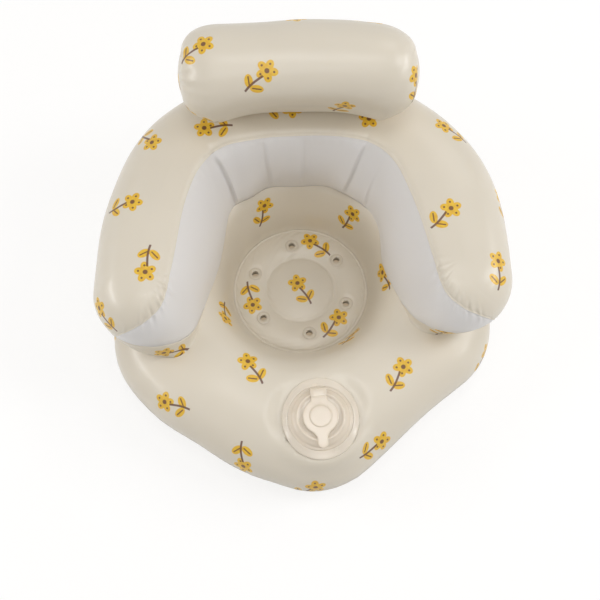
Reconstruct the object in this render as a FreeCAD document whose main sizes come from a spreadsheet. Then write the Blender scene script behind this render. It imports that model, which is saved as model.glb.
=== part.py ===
import FreeCAD, Part
import math
import os
import Sketcher

# Inflatable baby seat of welded film, in millimetres.
# +Z is up, the seat faces -Y, and +X is on the right of someone who looks at it from the front.
# The origin is on the ground, under the middle of the round seat floor.

doc = FreeCAD.newDocument("inflatable_baby_seat")
os.makedirs("parts", exist_ok=True)

Vector = FreeCAD.Vector
Rotation = FreeCAD.Rotation
Placement = FreeCAD.Placement

# Driving dimensions
DIMENSIONS = [
    # Clearances and cuts
    ("soft_gap", 0.3, "between soft solids"),
    ("weld_gap", 0.1, "between rigid pieces that are welded"),
    ("overrun", 5, "how far a cut runs past what it cuts"),
    # Base chamber
    ("base_height", 104, "ground to the flat of the crest"),
    ("seam_height", 52, "ground to the outer seam"),
    ("base_half_width", 243, "middle to the cheek"),
    ("base_nose_reach", 282, "middle to the nose's tip"),
    ("base_back_reach", 230, "middle to the back"),
    ("base_flank_angle", 38.5, "flank against the X axis, degrees"),
    ("base_nose_radius", 116, "nose in plan"),
    ("base_cheek_radius", 112, "cheeks in plan"),
    ("base_back_flat", 38, "middle to where the back's corner starts"),
    ("base_top_round", 58, "how far the upper edge rolls in"),
    ("base_bottom_round", 44, "how far the lower edge rolls in"),
    # Seat well
    ("well_wall_angle", 66, "wall above the floor's weld, degrees"),
    ("well_shoulder_radius", 46, "roll from the wall to the crest"),
    ("well_foot_reach", 20, "how far the wall rolls out below the floor"),
    ("well_collar_radius", 118, "how far the upper skin's wall reaches out below the seam"),
    # Seat floor
    ("floor_radius", 90, "outer weld circle"),
    ("floor_weld_height", 15, "ground to the middle of the floor"),
    ("floor_land", 4, "height of the weld's land"),
    ("floor_inner_radius", 46, "inner weld circle"),
    ("floor_sheet", 1, "sheet at a weld"),
    ("floor_middle_crown", 5, "rise of the middle"),
    ("floor_ring_crown", 3.5, "rise of the ring round it"),
    ("eyelet_circle_radius", 65, "circle of the drain eyelets"),
    ("eyelet_start_angle", 38, "first eyelet, degrees"),
    ("eyelet_count", 6, "drain eyelets"),
    ("eyelet_hole_radius", 4.2, "drain hole"),
    ("eyelet_radius", 9, "weld ring"),
    ("eyelet_rim", 0.8, "how thick the weld ring is above each sheet"),
    # Arm and back ring
    ("ring_height", 107, "crest above the base"),
    ("ring_half_width", 255, "middle to the arm's outside"),
    ("ring_back_reach", 240, "middle to the back's outside"),
    ("ring_front_reach", 120, "middle to the arm ends"),
    ("ring_back_flat", 35, "middle to where the back's corner starts"),
    ("ring_low_round", 30, "how far the outside rolls in at its foot"),
    ("ring_end_low_round", 8, "how far the arm ends roll in at their foot"),
    ("ring_high_round", 48, "how far the outside rolls in at the crest"),
    ("wall_back_reach", 117, "middle to the inner wall's foot at the back"),
    ("wall_side_lean", 31, "how far the wall leans out at the sides"),
    ("wall_back_lean", 11, "how far the wall leans out at the back"),
    ("wall_corner_radius", 42, "inner corners at the foot"),
    ("wall_corner_growth", 34, "how much larger they are at the seam"),
    ("wall_bulge", 7, "how far the wall swells in"),
    ("wall_edge", 1.5, "inner wall's thickness at its seams"),
    ("wall_crest_round", 12, "roll from the seam to the crest"),
    # Headrest
    ("headrest_half_length", 142, "middle to an end's bulge"),
    ("headrest_radius", 61, "tube"),
    ("headrest_sink", 2, "how far the ring's crest flattens the tube"),
    ("headrest_back", 175, "middle to its axis"),
    ("headrest_shift", 4, "to the right"),
    ("headrest_end_radius", 37, "end panel"),
    ("headrest_end_crown", 7, "end panel's bulge"),
    ("headrest_end_bevel", 9, "how far the bulge slopes in"),
    ("headrest_end_round", 30, "how far the tube rolls in to its end panel"),
    # Pump, along its own axis, from the underside of its flange
    ("pump_shift", 15, "middle to the pump's axis, to the right"),
    ("pump_setback", 78, "nose's tip to the pump's axis"),
    ("pump_sink", 2.6, "base's crest to the flange's underside"),
    ("pump_tilt", 3, "to the front, degrees"),
    ("pump_turn", 2.5, "about its axis, degrees"),
    ("flange_radius", 49, "pump flange"),
    ("flange_thickness", 1.8, "pump flange"),
    ("flange_bead", 1.2, "bevel of the flange's rim"),
    ("cup_radius", 41, "outside of the cup"),
    ("cup_wall", 1.4, "cup"),
    ("press_clearance", 4.6, "below the skirt when the dome is pressed"),
    ("outlet_radius", 5, "hole in the cup's bottom"),
    ("dome_gap", 0.4, "between the dome and the cup"),
    ("dome_skirt_depth", 8, "skirt below the flange's underside"),
    ("dome_wall", 1.6, "dome"),
    ("dome_brim_height", 2.6, "top of the flat brim"),
    ("dome_step_radius", 34, "foot of the step"),
    ("dome_plateau_radius", 31, "edge of the plateau"),
    ("dome_height", 10.3, "top of the plateau"),
    ("intake_radius", 8.6, "intake hole"),
    ("dome_travel", 12, "how far it is pressed"),
    ("flap_radius", 21.8, "flap"),
    ("flap_thickness", 2.2, "flap"),
    ("flap_lift", 0.2, "flap above the plateau"),
    ("flap_pad_radius", 13, "raised disc on the flap"),
    ("flap_pad_height", 1.1, "raised disc on the flap"),
    ("flap_neck", 6, "half width of the flap at its ends"),
    ("tab_reach", 38.8, "middle to the pull tab's tip"),
    ("tab_half_width", 6.5, "pull tab"),
    ("plug_top_radius", 8.3, "plug below the flap"),
    ("plug_bottom_radius", 6.6, "plug below the flap"),
    ("plug_depth", 6, "plug below the flap"),
    ("strap_half_width", 10, "strap"),
    ("strap_start", 27, "middle to the bend"),
    ("strap_reach", 37.5, "middle to the strap's root"),
    ("strap_thickness", 1.6, "strap"),
    ("hinge_gap", 0.4, "between the flap and its strap"),
    ("foam_inner_radius", 13, "return foam"),
    ("foam_outer_radius", 29, "return foam"),
    ("outlet_flap_radius", 8, "outlet flap"),
    ("outlet_flap_thickness", 0.8, "outlet flap"),
    ("outlet_flap_swing_depth", 14, "room below the outlet flap"),
    # Deflation valve, along its own axis, from its flange's inner face
    ("valve_rise", 51, "base's crest to the valve's axis"),
    ("valve_sink", 2.2, "flange's inner face below the ring's outside"),
    ("valve_flange_radius", 15, "valve flange"),
    ("valve_flange_thickness", 1.4, "valve flange"),
    ("neck_outer_radius", 8, "valve neck"),
    ("neck_inner_radius", 6.5, "valve neck"),
    ("neck_depth", 16, "valve neck"),
    ("valve_cap_radius", 8.6, "plug's lip"),
    ("valve_cap_thickness", 2, "plug's lip"),
    ("valve_plug_depth", 4, "plug in the neck"),
    ("valve_plug_end_radius", 5.2, "plug in the neck"),
    ("valve_hinge_drop", 9.8, "valve's axis to the strap's bend"),
    ("valve_strap_half_width", 3.5, "strap"),
    ("valve_strap_reach", 14, "valve's axis to the strap's root"),
    ("check_flap_thickness", 0.6, "check flap"),
    ("check_flap_radius", 7.6, "check flap"),
    ("valve_pocket_depth", 30, "room behind the valve"),
]

# Soft forms have flat facets: a round stretch has a chord for each such share of a right angle
CHORD_SHARE = 0.125
# Shares of a quarter turn at which a rolled edge has a level
ROLL_SHARES = (0, 0.3, 0.56, 0.8, 1)
# Shares of the width of a swollen sheet that its two slopes take
SWELL_SHARE = 0.24
# Shares of the ring's height at which it has a level, the widest one and the inner seam's
RING_LEVEL_SHARES = (0, 0.09, 0.26, 0.48, 0.72, 0.86, 0.95, 1)
RING_WIDEST_SHARE = 0.48
RING_SEAM_SHARE = 0.95
# Shares of the ring's half width at which its inner wall's foot stands, at the back and at the arm ends
WALL_BACK_SHARE = 83 / 255
WALL_FRONT_SHARE = 143 / 255
# Shares of the arm's width that its end's two corners take, and where the inner wall ends between them
ARM_END_OUTER_SHARE = 0.54
ARM_END_INNER_SHARE = 0.37
WALL_END_SHARE = 0.42

sheet = doc.addObject("Spreadsheet::Sheet", "Sizes")
for row, (alias, value, note) in enumerate(DIMENSIONS, 1):
    sheet.set(f"A{row}", alias.replace("_", " "))
    sheet.set(f"B{row}", str(value))
    sheet.set(f"C{row}", note)
    sheet.setAlias(f"B{row}", alias)
doc.recompute()


class Size:
    """A number together with the sheet expression that it comes from."""

    def __init__(self, number, text):
        self.number = number
        self.text = text

    def combine(self, other, sign, result):
        text = other.text if isinstance(other, Size) else str(other)
        return Size(result, f"({self.text} {sign} {text})")

    def __add__(self, other):
        return self.combine(other, "+", self.number + number_of(other))

    def __sub__(self, other):
        return self.combine(other, "-", self.number - number_of(other))

    def __mul__(self, other):
        return self.combine(other, "*", self.number * number_of(other))

    def __truediv__(self, other):
        return self.combine(other, "/", self.number / number_of(other))

    def __neg__(self):
        return Size(-self.number, f"(-1 * {self.text})")


def number_of(value):
    return value.number if isinstance(value, Size) else value


def size(alias):
    return Size(float(getattr(sheet, alias)), f"Sizes.{alias}")


def length(alias):
    return size(alias).number


ZERO = Size(0, "0")


# Sketches and bodies

def new_body(name, placement=None):
    body = doc.addObject("PartDesign::Body", name)
    body.Label = name
    if placement:
        body.Placement = placement
    return body


def origin_plane(body, role):
    return next(f for f in body.Origin.OriginFeatures if f.Role == role)


def new_sketch(body, name, role, offset=None):
    sketch = body.newObject("Sketcher::SketchObject", name)
    sketch.AttachmentSupport = [(origin_plane(body, role), "")]
    sketch.MapMode = "FlatFace"
    if offset is not None:
        sketch.AttachmentOffset = Placement(Vector(0, 0, offset.number), Rotation())
        sketch.setExpression("AttachmentOffset.Base.z", offset.text)
    return sketch


def bind_point(sketch, edge, end, axis, value):
    if abs(value.number) < 1e-9:
        axis_line = -2 if axis == "X" else -1
        sketch.addConstraint(Sketcher.Constraint("PointOnObject", edge, end, axis_line))
        return
    kind = "Distance" + axis
    index = sketch.addConstraint(Sketcher.Constraint(kind, -1, 1, edge, end, value.number))
    sketch.setExpression(f"Constraints[{index}]", value.text)


def arc_through(start, end, radius, side):
    """Arc from start to end that bulges to the left of its chord for side +1, to the right for -1."""
    chord = end - start
    left = Vector(-chord.y, chord.x, 0).normalize()
    half = chord.Length / 2
    rise = radius - math.sqrt(max(radius * radius - half * half, 0))
    return Part.Arc(start, (start + end) / 2 + left * rise * side, end)


def draw_outline(sketch, corners, arcs=None):
    """Closed outline through corners; arcs maps an edge's number to its radius and side."""
    arcs = arcs or {}
    places = [Vector(x.number, y.number, 0) for x, y in corners]
    count = len(places)
    starts = []
    for i in range(count):
        start, end = places[i], places[(i + 1) % count]
        if i in arcs:
            radius, side = arcs[i]
            edge = sketch.addGeometry(arc_through(start, end, radius.number, side), False)
            index = sketch.addConstraint(Sketcher.Constraint("Radius", edge, radius.number))
            sketch.setExpression(f"Constraints[{index}]", radius.text)
            # An arc runs counter-clockwise, so one that bulges left is stored from its end
            starts.append((edge, 1, 2) if side < 0 else (edge, 2, 1))
        else:
            edge = sketch.addGeometry(Part.LineSegment(start, end), False)
            starts.append((edge, 1, 2))
    for i in range(count):
        edge, first, last = starts[i]
        following = starts[(i + 1) % count]
        sketch.addConstraint(Sketcher.Constraint("Coincident", edge, last, following[0], following[1]))
        bind_point(sketch, edge, first, "X", corners[i][0])
        bind_point(sketch, edge, first, "Y", corners[i][1])


def draw_circle(sketch, x, y, radius):
    circle = Part.Circle(Vector(x.number, y.number, 0), Vector(0, 0, 1), radius.number)
    edge = sketch.addGeometry(circle, False)
    index = sketch.addConstraint(Sketcher.Constraint("Radius", edge, radius.number))
    sketch.setExpression(f"Constraints[{index}]", radius.text)
    bind_point(sketch, edge, 3, "X", x)
    bind_point(sketch, edge, 3, "Y", y)


def revolve(body, name, corners, arcs=None):
    """Solid turned about the body's Z axis, from an outline of radii and heights."""
    sketch = new_sketch(body, name + "_profile", "XZ_Plane")
    draw_outline(sketch, corners, arcs)
    feature = body.newObject("PartDesign::Revolution", name)
    feature.Profile = sketch
    feature.ReferenceAxis = (sketch, ["V_Axis"])
    feature.Angle = 360
    sketch.Visibility = False
    body.Tip = feature
    return feature


def pad(body, name, draw, bottom, height):
    """Pad of what draw puts on a sketch at the height bottom."""
    sketch = new_sketch(body, name + "_profile", "XY_Plane", bottom)
    draw(sketch)
    feature = body.newObject("PartDesign::Pad", name)
    feature.Profile = sketch
    feature.Length = height.number
    feature.setExpression("Length", height.text)
    body.Tip = feature
    return feature


def polar_pattern(body, name, feature, count):
    pattern = body.newObject("PartDesign::PolarPattern", name)
    pattern.Originals = [feature]
    pattern.Axis = (origin_plane(body, "Z_Axis"), [""])
    pattern.Angle = 360
    pattern.Occurrences = int(count.number)
    pattern.setExpression("Occurrences", count.text)
    body.Tip = pattern
    return pattern


# Soft forms: stacks of rounded outlines with a chord for each stretch of their arcs

def chord_count(turn):
    """Even number of chords for a turn in degrees, so that a corner keeps a point on its middle."""
    return 2 * max(round(turn / (180 * CHORD_SHARE)), 1)


def rounded_outline(corners, radii, height):
    """Points of a closed outline, with each corner rounded unless its radius is zero."""
    places = [Vector(x, y, height) for x, y in corners]
    points = []
    for i, corner in enumerate(places):
        if radii[i] == 0:
            points.append(corner)
            continue
        back = (places[i - 1] - corner).normalize()
        ahead = (places[(i + 1) % len(places)] - corner).normalize()
        half = back.getAngle(ahead) / 2
        centre = corner + (back + ahead).normalize() * (radii[i] / math.sin(half))
        start = corner + back * (radii[i] / math.tan(half)) - centre
        turn = (180 - math.degrees(half) * 2) * (-1 if back.cross(ahead).z > 0 else 1)
        steps = chord_count(abs(turn))
        for step in range(steps + 1):
            points.append(centre + Rotation(Vector(0, 0, 1), turn * step / steps) * start)
    return points


def round_outline(radius, height):
    """Points of a circle's chords, drawn outside the circle and with one square to each axis."""
    steps = chord_count(360)
    half = math.pi / steps
    angles = [half * (2 * step + 1) for step in range(steps)]
    reach = radius / math.cos(half)
    return [Vector(reach * math.cos(angle), reach * math.sin(angle), height) for angle in angles]


def flat_faces(corners):
    """One face through four corners, or two where they don't lie in a plane."""
    a, b, c, d = corners
    normal = (b - a).cross(c - a)
    if abs(normal.dot(d - a)) < 1e-9 * normal.Length:
        return [Part.Face(Part.makePolygon([a, b, c, d, a]))]
    return [Part.Face(Part.makePolygon([a, b, c, a])), Part.Face(Part.makePolygon([a, c, d, a]))]


def stack(outlines):
    """Solid through outlines that have as many points each."""
    faces = [Part.Face(Part.makePolygon(points + points[:1])) for points in (outlines[0], outlines[-1])]
    for lower, upper in zip(outlines, outlines[1:]):
        for i in range(len(lower)):
            faces += flat_faces([lower[i - 1], lower[i], upper[i], upper[i - 1]])
    solid = Part.Solid(Part.makeShell(faces))
    if solid.Volume < 0:
        solid.reverse()
    return solid


def round_stack(profile):
    """Solid of circles, from radii and heights."""
    return stack([round_outline(radius, height) for radius, height in profile])


def roll(reach, share):
    """How far an edge has rolled in at a share of its rise, along a quarter of an ellipse."""
    return reach * (1 - math.sqrt(max(1 - share * share, 0)))


def base_outline(inset, height):
    half = length("base_half_width") - inset
    back = length("base_back_reach") - inset
    flank = math.radians(length("base_flank_angle"))
    nose_radius = length("base_nose_radius")
    apex = length("base_nose_reach") + nose_radius * (1 / math.cos(flank) - 1)
    apex -= inset / math.cos(flank)
    cheek = -apex + half * math.tan(flank)
    corners = [(0, -apex), (half, cheek), (half, back), (-half, back), (-half, cheek)]
    cheek_radius = length("base_cheek_radius") - inset
    back_radius = length("base_half_width") - length("base_back_flat") - inset
    radii = [nose_radius - inset, cheek_radius, back_radius, back_radius, cheek_radius]
    return rounded_outline(corners, radii, height)


def pillow_half(seam, flat, reach):
    """Half of the base chamber, from its seam to its flat, with its edge rolled in by reach."""
    outlines = []
    for share in ROLL_SHARES:
        angle = share * math.pi / 2
        outlines.append(base_outline(reach * (1 - math.cos(angle)), seam + (flat - seam) * math.sin(angle)))
    return stack(outlines)


def well_tool():
    """What the seat well takes out of both halves of the base."""
    over = length("overrun")
    radius = length("floor_radius")
    low = length("floor_weld_height") - length("floor_land") / 2
    high = low + length("floor_land")
    slope = math.radians(length("well_wall_angle"))
    shoulder = length("well_shoulder_radius")
    top = length("base_height")
    # The straight wall ends where the shoulder's arc meets it, and the arc is creased at the roll's levels
    wall_end_z = top - shoulder * (1 - math.cos(slope))
    crest_x = radius + (wall_end_z - high) / math.tan(slope) + shoulder * math.sin(slope)
    rolled = []
    for share in ROLL_SHARES[::-1]:
        angle = slope * share
        rolled.append((crest_x - shoulder * math.sin(angle), top - shoulder * (1 - math.cos(angle))))
    reach = length("well_foot_reach")
    foot = []
    for share in ROLL_SHARES[::2]:
        angle = share * math.pi / 2
        foot.append((radius + reach * (1 - math.sin(angle)), low * (1 - math.cos(angle))))
    return round_stack([(radius + reach, -over)] + foot + [(radius, high)] + rolled[1:]
                       + [(crest_x, top + over)])


def pump_placement():
    front = length("base_nose_reach") - length("pump_setback")
    height = length("base_height") - length("pump_sink")
    place = Vector(length("pump_shift"), -front, height)
    tilt = Rotation(Vector(1, 0, 0), length("pump_tilt"))
    turn = Rotation(Vector(0, 0, 1), length("pump_turn"))
    return Placement(place, tilt * turn)


def valve_placement():
    """The valve's own Z axis points out of the back, its own Y axis up."""
    height = length("base_height") + length("valve_rise")
    place = Vector(0, length("ring_back_reach") - length("valve_sink"), height)
    return Placement(place, Rotation(Vector(-1, 0, 0), Vector(0, 0, 1), Vector(0, 1, 0), "ZYX"))


def cylinder(radius, low, high, placement):
    shape = Part.makeCylinder(radius, high - low, Vector(0, 0, low))
    shape.Placement = placement
    return shape


def cup_depth():
    """The cup is as deep as the pressed dome's skirt needs."""
    return size("cup_wall") + size("dome_skirt_depth") + size("dome_travel") + size("press_clearance")


def pump_recess():
    """Seat for the flange, room for the cup, and room for the outlet flap."""
    gap = length("soft_gap")
    place = pump_placement()
    over = length("overrun")
    seat = cylinder(length("flange_radius") + gap, 0, length("flange_thickness") + over, place)
    cup_floor = -cup_depth().number - gap
    cup = cylinder(length("cup_radius") + gap, cup_floor, over, place)
    swing = length("outlet_flap_swing_depth")
    # The outlet flap swings inside the cup's own width
    swing_radius = length("outlet_flap_radius") * 2
    below = cylinder(swing_radius, cup_floor - swing, over, place)
    return seat.fuse([cup, below])


def ring_insets(share):
    """How far the outside, the arm ends and the wall past its seam stand back at a share of the height."""
    wide = RING_WIDEST_SHARE
    if share < wide:
        low = (wide - share) / wide
        outside = roll(length("ring_low_round"), low)
        end = roll(length("ring_end_low_round"), low)
    else:
        outside = end = roll(length("ring_high_round"), (share - wide) / (1 - wide))
    past = max(share - RING_SEAM_SHARE, 0) / (1 - RING_SEAM_SHARE)
    return outside, end, roll(length("wall_crest_round"), past)


def wall_depth():
    """How far the inner wall stands proud of the ring's core at its fullest."""
    return length("soft_gap") + length("wall_edge") + length("wall_bulge")


def wall_splay():
    """How much the arms open per length along Y."""
    spread = length("ring_half_width") * (WALL_FRONT_SHARE - WALL_BACK_SHARE)
    return spread / (length("wall_back_reach") + length("ring_front_reach"))


def opening_corners(rise, shift, front):
    """Corners of the opening between the arms: right front, right back, left back, left front."""
    side = length("ring_half_width") * WALL_BACK_SHARE + length("wall_side_lean") * rise + shift
    back = length("wall_back_reach") + length("wall_back_lean") * rise + shift
    front_x = side + wall_splay() * (length("wall_back_reach") - front)
    back_x = side + wall_splay() * (length("wall_back_reach") - back)
    return [(front_x, front), (back_x, back), (-back_x, back), (-front_x, front)]


class RingLevel:
    """Outline values of the ring's core at a share of its height."""

    def __init__(self, share):
        self.outside, end, crest = ring_insets(share)
        self.rise = min(share / RING_SEAM_SHARE, 1)
        self.height = length("base_height") + length("ring_height") * share
        self.front = -(length("ring_front_reach") - wall_depth() - end)
        self.half = length("ring_half_width") - self.outside
        self.opening = opening_corners(self.rise, crest, self.front)
        self.arm_width = self.half - self.opening[0][0]
        # The angle between the arm's end and its splayed inner side sets how far a corner reaches
        end_angle = math.pi / 2 + math.atan(wall_splay())
        self.inner_tip = self.arm_width * ARM_END_INNER_SHARE * math.tan(end_angle / 2)
        self.outer_tip = self.arm_width * ARM_END_OUTER_SHARE
        self.bend = length("wall_corner_radius") + length("wall_corner_growth") * self.rise


def ring_outline(share):
    """Outline of the ring's core: its outside, its arm ends and the seat of its inner wall."""
    level = RingLevel(share)
    front, half = level.front, level.half
    back = length("ring_back_reach") - level.outside
    right_front, right_back, left_back, left_front = level.opening
    corners = [(half, front), (half, back), (-half, back), (-half, front),
               left_front, left_back, right_back, right_front]
    outer = length("ring_half_width") - length("ring_back_flat") - level.outside
    inner_tip, bend = level.inner_tip, level.bend
    radii = [level.outer_tip, outer, outer, level.outer_tip, inner_tip, bend, bend, inner_tip]
    return rounded_outline(corners, radii, level.height)


def wall_outline(share):
    """Outline of the inner wall: along its swollen face and back along the ring's core."""
    level = RingLevel(share)
    rise, front, inner_tip, bend = level.rise, level.front, level.inner_tip, level.bend
    back_side = length("soft_gap")
    face_side = back_side + length("wall_edge") + length("wall_bulge") * 4 * rise * (1 - rise)
    face = opening_corners(rise, -face_side, front - face_side)
    seat = opening_corners(rise, -back_side, front - back_side)
    end_x = level.opening[0][0] + level.arm_width * WALL_END_SHARE
    corners = [(end_x, front - face_side)] + face + [(-end_x, front - face_side)]
    corners += [(-end_x, front - back_side)] + seat[::-1] + [(end_x, front - back_side)]
    face_radii = [inner_tip + face_side, bend - face_side, bend - face_side, inner_tip + face_side]
    seat_radii = [inner_tip + back_side, bend - back_side, bend - back_side, inner_tip + back_side]
    radii = [0] + face_radii + [0, 0] + seat_radii + [0]
    return rounded_outline(corners, radii, level.height)


def valve_recess():
    place = valve_placement()
    gap = length("soft_gap")
    over = length("overrun")
    seat = cylinder(length("valve_flange_radius") + gap, 0, length("valve_flange_thickness") + over, place)
    room = cylinder(length("neck_outer_radius") + gap, -length("valve_pocket_depth"), over, place)
    return seat.fuse(room)


def soft_solid(name, shape):
    solid = doc.addObject("Part::Feature", name)
    solid.Label = name
    solid.Shape = shape.Solids[0] if len(shape.Solids) == 1 else shape
    return solid


def make_base():
    top, seam = length("base_height"), length("seam_height")
    well = well_tool()
    # In the well the upper skin runs down to the floor's weld
    weld = length("floor_weld_height")
    collar_radius = length("well_collar_radius")
    collar = round_stack([(collar_radius, weld), (collar_radius, seam)])
    upper = pillow_half(seam, top, length("base_top_round")).fuse(collar).cut(well).cut(pump_recess())
    lower = pillow_half(seam, 0, length("base_bottom_round")).cut(collar).cut(well)
    return [soft_solid("base_upper_skin", upper), soft_solid("base_lower_skin", lower)]


def make_ring():
    core = stack([ring_outline(share) for share in RING_LEVEL_SHARES])
    wall_shares = [share for share in RING_LEVEL_SHARES if share <= RING_SEAM_SHARE]
    wall = stack([wall_outline(share) for share in wall_shares])
    core = core.cut(valve_recess())
    return [soft_solid("arm_ring_outer_skin", core), soft_solid("arm_ring_inner_wall", wall)]


# Seat floor and its drain eyelets

def floor_sheet(name, side):
    """One floor sheet, with side 1 above the weld and -1 below: a swollen middle and a swollen ring."""
    inner, outer = length("floor_inner_radius"), length("floor_radius") - length("soft_gap")
    edge = length("floor_sheet")
    slope = (outer - inner) * SWELL_SHARE
    ring_top = edge + length("floor_ring_crown")
    middle_top = edge + length("floor_middle_crown")
    disc = round_stack([(outer, 0), (outer, side * edge)])
    ring = round_stack([(outer, side * edge), (outer - slope, side * ring_top)])
    hollow = round_stack([(inner, side * edge), (inner + slope, side * ring_top)])
    middle = round_stack([(inner, side * edge), (inner - slope * 2, side * middle_top)])
    shape = disc.fuse([ring.cut(hollow), middle])
    drain = Part.makeCylinder(length("eyelet_hole_radius"), middle_top * 2,
                              Vector(length("eyelet_circle_radius"), 0, -middle_top))
    start, count = length("eyelet_start_angle"), int(length("eyelet_count"))
    drains = []
    for number in range(count):
        hole = drain.copy()
        hole.rotate(Vector(0, 0, 0), Vector(0, 0, 1), start + 360 * number / count)
        drains.append(hole)
    shape = shape.cut(drains)
    shape.translate(Vector(0, 0, length("floor_weld_height")))
    return soft_solid(name, shape)


def make_eyelets():
    turn = Rotation(Vector(0, 0, 1), length("eyelet_start_angle"))
    body = new_body("drain_eyelets", Placement(Vector(0, 0, length("floor_weld_height")), turn))
    body.setExpression("Placement.Base.z", "Sizes.floor_weld_height")
    body.AllowCompound = True
    place = size("eyelet_circle_radius")
    # A weld ring lies on top of the swollen ring of the floor
    bottom = size("floor_sheet") + size("floor_ring_crown") + size("weld_gap")

    def draw(sketch):
        draw_circle(sketch, place, ZERO, size("eyelet_radius"))
        draw_circle(sketch, place, ZERO, size("eyelet_hole_radius"))

    ring = pad(body, "eyelet_ring", draw, bottom, size("eyelet_rim"))
    polar_pattern(body, "eyelet_rings", ring, size("eyelet_count"))
    return body


# Headrest: a tube that lies along X, with a round panel in each end

def headrest_placement():
    crest = length("base_height") + length("ring_height")
    height = crest + length("headrest_radius") - length("headrest_sink")
    place = Vector(length("headrest_shift"), length("headrest_back"), height)
    return Placement(place, Rotation(Vector(0, 0, 1), Vector(0, 1, 0), Vector(1, 0, 0), "ZYX"))


def make_headrest():
    panel = length("headrest_end_radius")
    end = length("headrest_half_length") - length("headrest_end_crown")
    radius, roll_in = length("headrest_radius"), length("headrest_end_round")
    half_side = []
    for share in ROLL_SHARES:
        angle = share * math.pi / 2
        half_side.append((panel + (radius - panel) * math.cos(angle), end - roll_in * (1 - math.sin(angle))))
    side = [(reach, -along) for reach, along in half_side[::-1]] + half_side
    tube = round_stack(side)
    tube.Placement = headrest_placement()
    # The tube is flat where it is welded to the ring's crest
    crest = length("base_height") + length("ring_height")
    wide = length("ring_half_width") * 2
    below = Part.makeBox(wide, wide, crest, Vector(-wide / 2, 0, 0))
    rim = end + length("weld_gap")
    bevel = panel - length("headrest_end_bevel")
    pieces = [soft_solid("headrest_tube", tube.cut(below))]
    for name, sign in (("headrest_left_end", -1), ("headrest_right_end", 1)):
        bulge = round_stack([(panel, sign * rim), (bevel, sign * length("headrest_half_length"))])
        bulge.Placement = headrest_placement()
        pieces.append(soft_solid(name, bulge))
    return pieces


# Pump

def make_pump_flange():
    body = new_body("pump_flange", pump_placement())
    inner, outer = size("cup_radius") + size("weld_gap"), size("flange_radius")
    top, bead = size("flange_thickness"), size("flange_bead")
    corners = [(inner, ZERO), (outer, ZERO), (outer, top - bead), (outer - bead, top), (inner, top)]
    revolve(body, "flange_turned", corners)
    return body


def make_pump_cup():
    body = new_body("pump_cup", pump_placement())
    outer = size("cup_radius")
    inner = outer - size("cup_wall")
    low = -cup_depth()
    bottom = low + size("cup_wall")
    top = size("flange_thickness")
    hole = size("outlet_radius")
    corners = [(hole, low), (outer, low), (outer, top), (inner, top), (inner, bottom), (hole, bottom)]
    revolve(body, "cup_turned", corners)
    return body


def make_pump_dome():
    body = new_body("pump_dome", pump_placement())
    wall = size("dome_wall")
    outer = size("cup_radius") - size("cup_wall") - size("dome_gap")
    foot = -size("dome_skirt_depth")
    brim = size("dome_brim_height")
    top = size("dome_height")
    step, plateau = size("dome_step_radius"), size("dome_plateau_radius")
    hole = size("intake_radius")
    corners = [
        (outer, foot), (outer, brim), (step, brim), (plateau, top), (hole, top), (hole, top - wall),
        (plateau - wall, top - wall), (plateau - wall, brim - wall), (outer - wall, brim - wall),
        (outer - wall, foot),
    ]
    revolve(body, "dome_turned", corners)
    return body


def make_pump_foam():
    body = new_body("pump_return_foam", pump_placement())
    low = size("cup_wall") + size("soft_gap") - cup_depth()
    high = size("dome_height") - size("dome_wall") - size("soft_gap")
    inner, outer = size("foam_inner_radius"), size("foam_outer_radius")
    revolve(body, "foam_turned", [(inner, low), (outer, low), (outer, high), (inner, high)])
    return body


def make_pump_flap():
    """Round flap with a neck to the bend, a pull tab, a raised disc and the plug below."""
    body = new_body("pump_flap", pump_placement())
    low = size("dome_height") + size("flap_lift")
    thick = size("flap_thickness")
    radius = size("flap_radius")
    neck = size("strap_half_width")
    bend = size("strap_start") - size("hinge_gap")
    tab, reach = size("tab_half_width"), size("tab_reach")

    def draw_disc(sketch):
        draw_circle(sketch, ZERO, ZERO, radius)

    disc = pad(body, "flap_disc", draw_disc, low, thick)

    def draw_neck(sketch):
        draw_outline(sketch, [(-neck, ZERO), (neck, ZERO), (neck, bend), (-neck, bend)])

    pad(body, "flap_neck_pad", draw_neck, low, thick)

    def draw_tab(sketch):
        shoulder = radius - size("flap_neck") / 2
        root = tab + size("flap_neck")
        tip = reach - tab
        corners = [(-root, -(radius - tab)), (-tab, -(radius + tab / 2)), (-tab, -tip), (tab, -tip),
                   (tab, -(radius + tab / 2)), (root, -(radius - tab))]
        draw_outline(sketch, corners, {2: (tab * 1.001, -1)})

    pad(body, "flap_tab", draw_tab, low, thick)

    def draw_pad(sketch):
        draw_circle(sketch, ZERO, ZERO, size("flap_pad_radius"))

    pad(body, "flap_raised_disc", draw_pad, low + thick, size("flap_pad_height"))
    top, bottom = size("plug_top_radius"), size("plug_bottom_radius")
    depth = low - size("plug_depth")
    inside = low + thick / 2
    revolve(body, "flap_plug", [(ZERO, depth), (bottom, depth), (top, low), (top, inside), (ZERO, inside)])
    return body


def make_flap_strap():
    body = new_body("pump_flap_strap", pump_placement())
    half = size("strap_half_width")
    start, reach = size("strap_start"), size("strap_reach")
    lift = size("dome_height") + size("flap_lift")
    thick = size("strap_thickness")
    brim = size("dome_brim_height") + size("weld_gap")
    step = size("dome_step_radius")
    sketch = new_sketch(body, "strap_profile", "YZ_Plane")
    corners = [
        (start, lift), (step, lift), (reach - thick, brim), (reach, brim),
        (reach, brim + thick), (step + thick, lift + thick), (start, lift + thick),
    ]
    draw_outline(sketch, corners)
    feature = body.newObject("PartDesign::Pad", "strap_pad")
    feature.Profile = sketch
    feature.Midplane = True
    feature.Length = half.number * 2
    feature.setExpression("Length", (half * 2).text)
    body.Tip = feature
    return body


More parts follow.
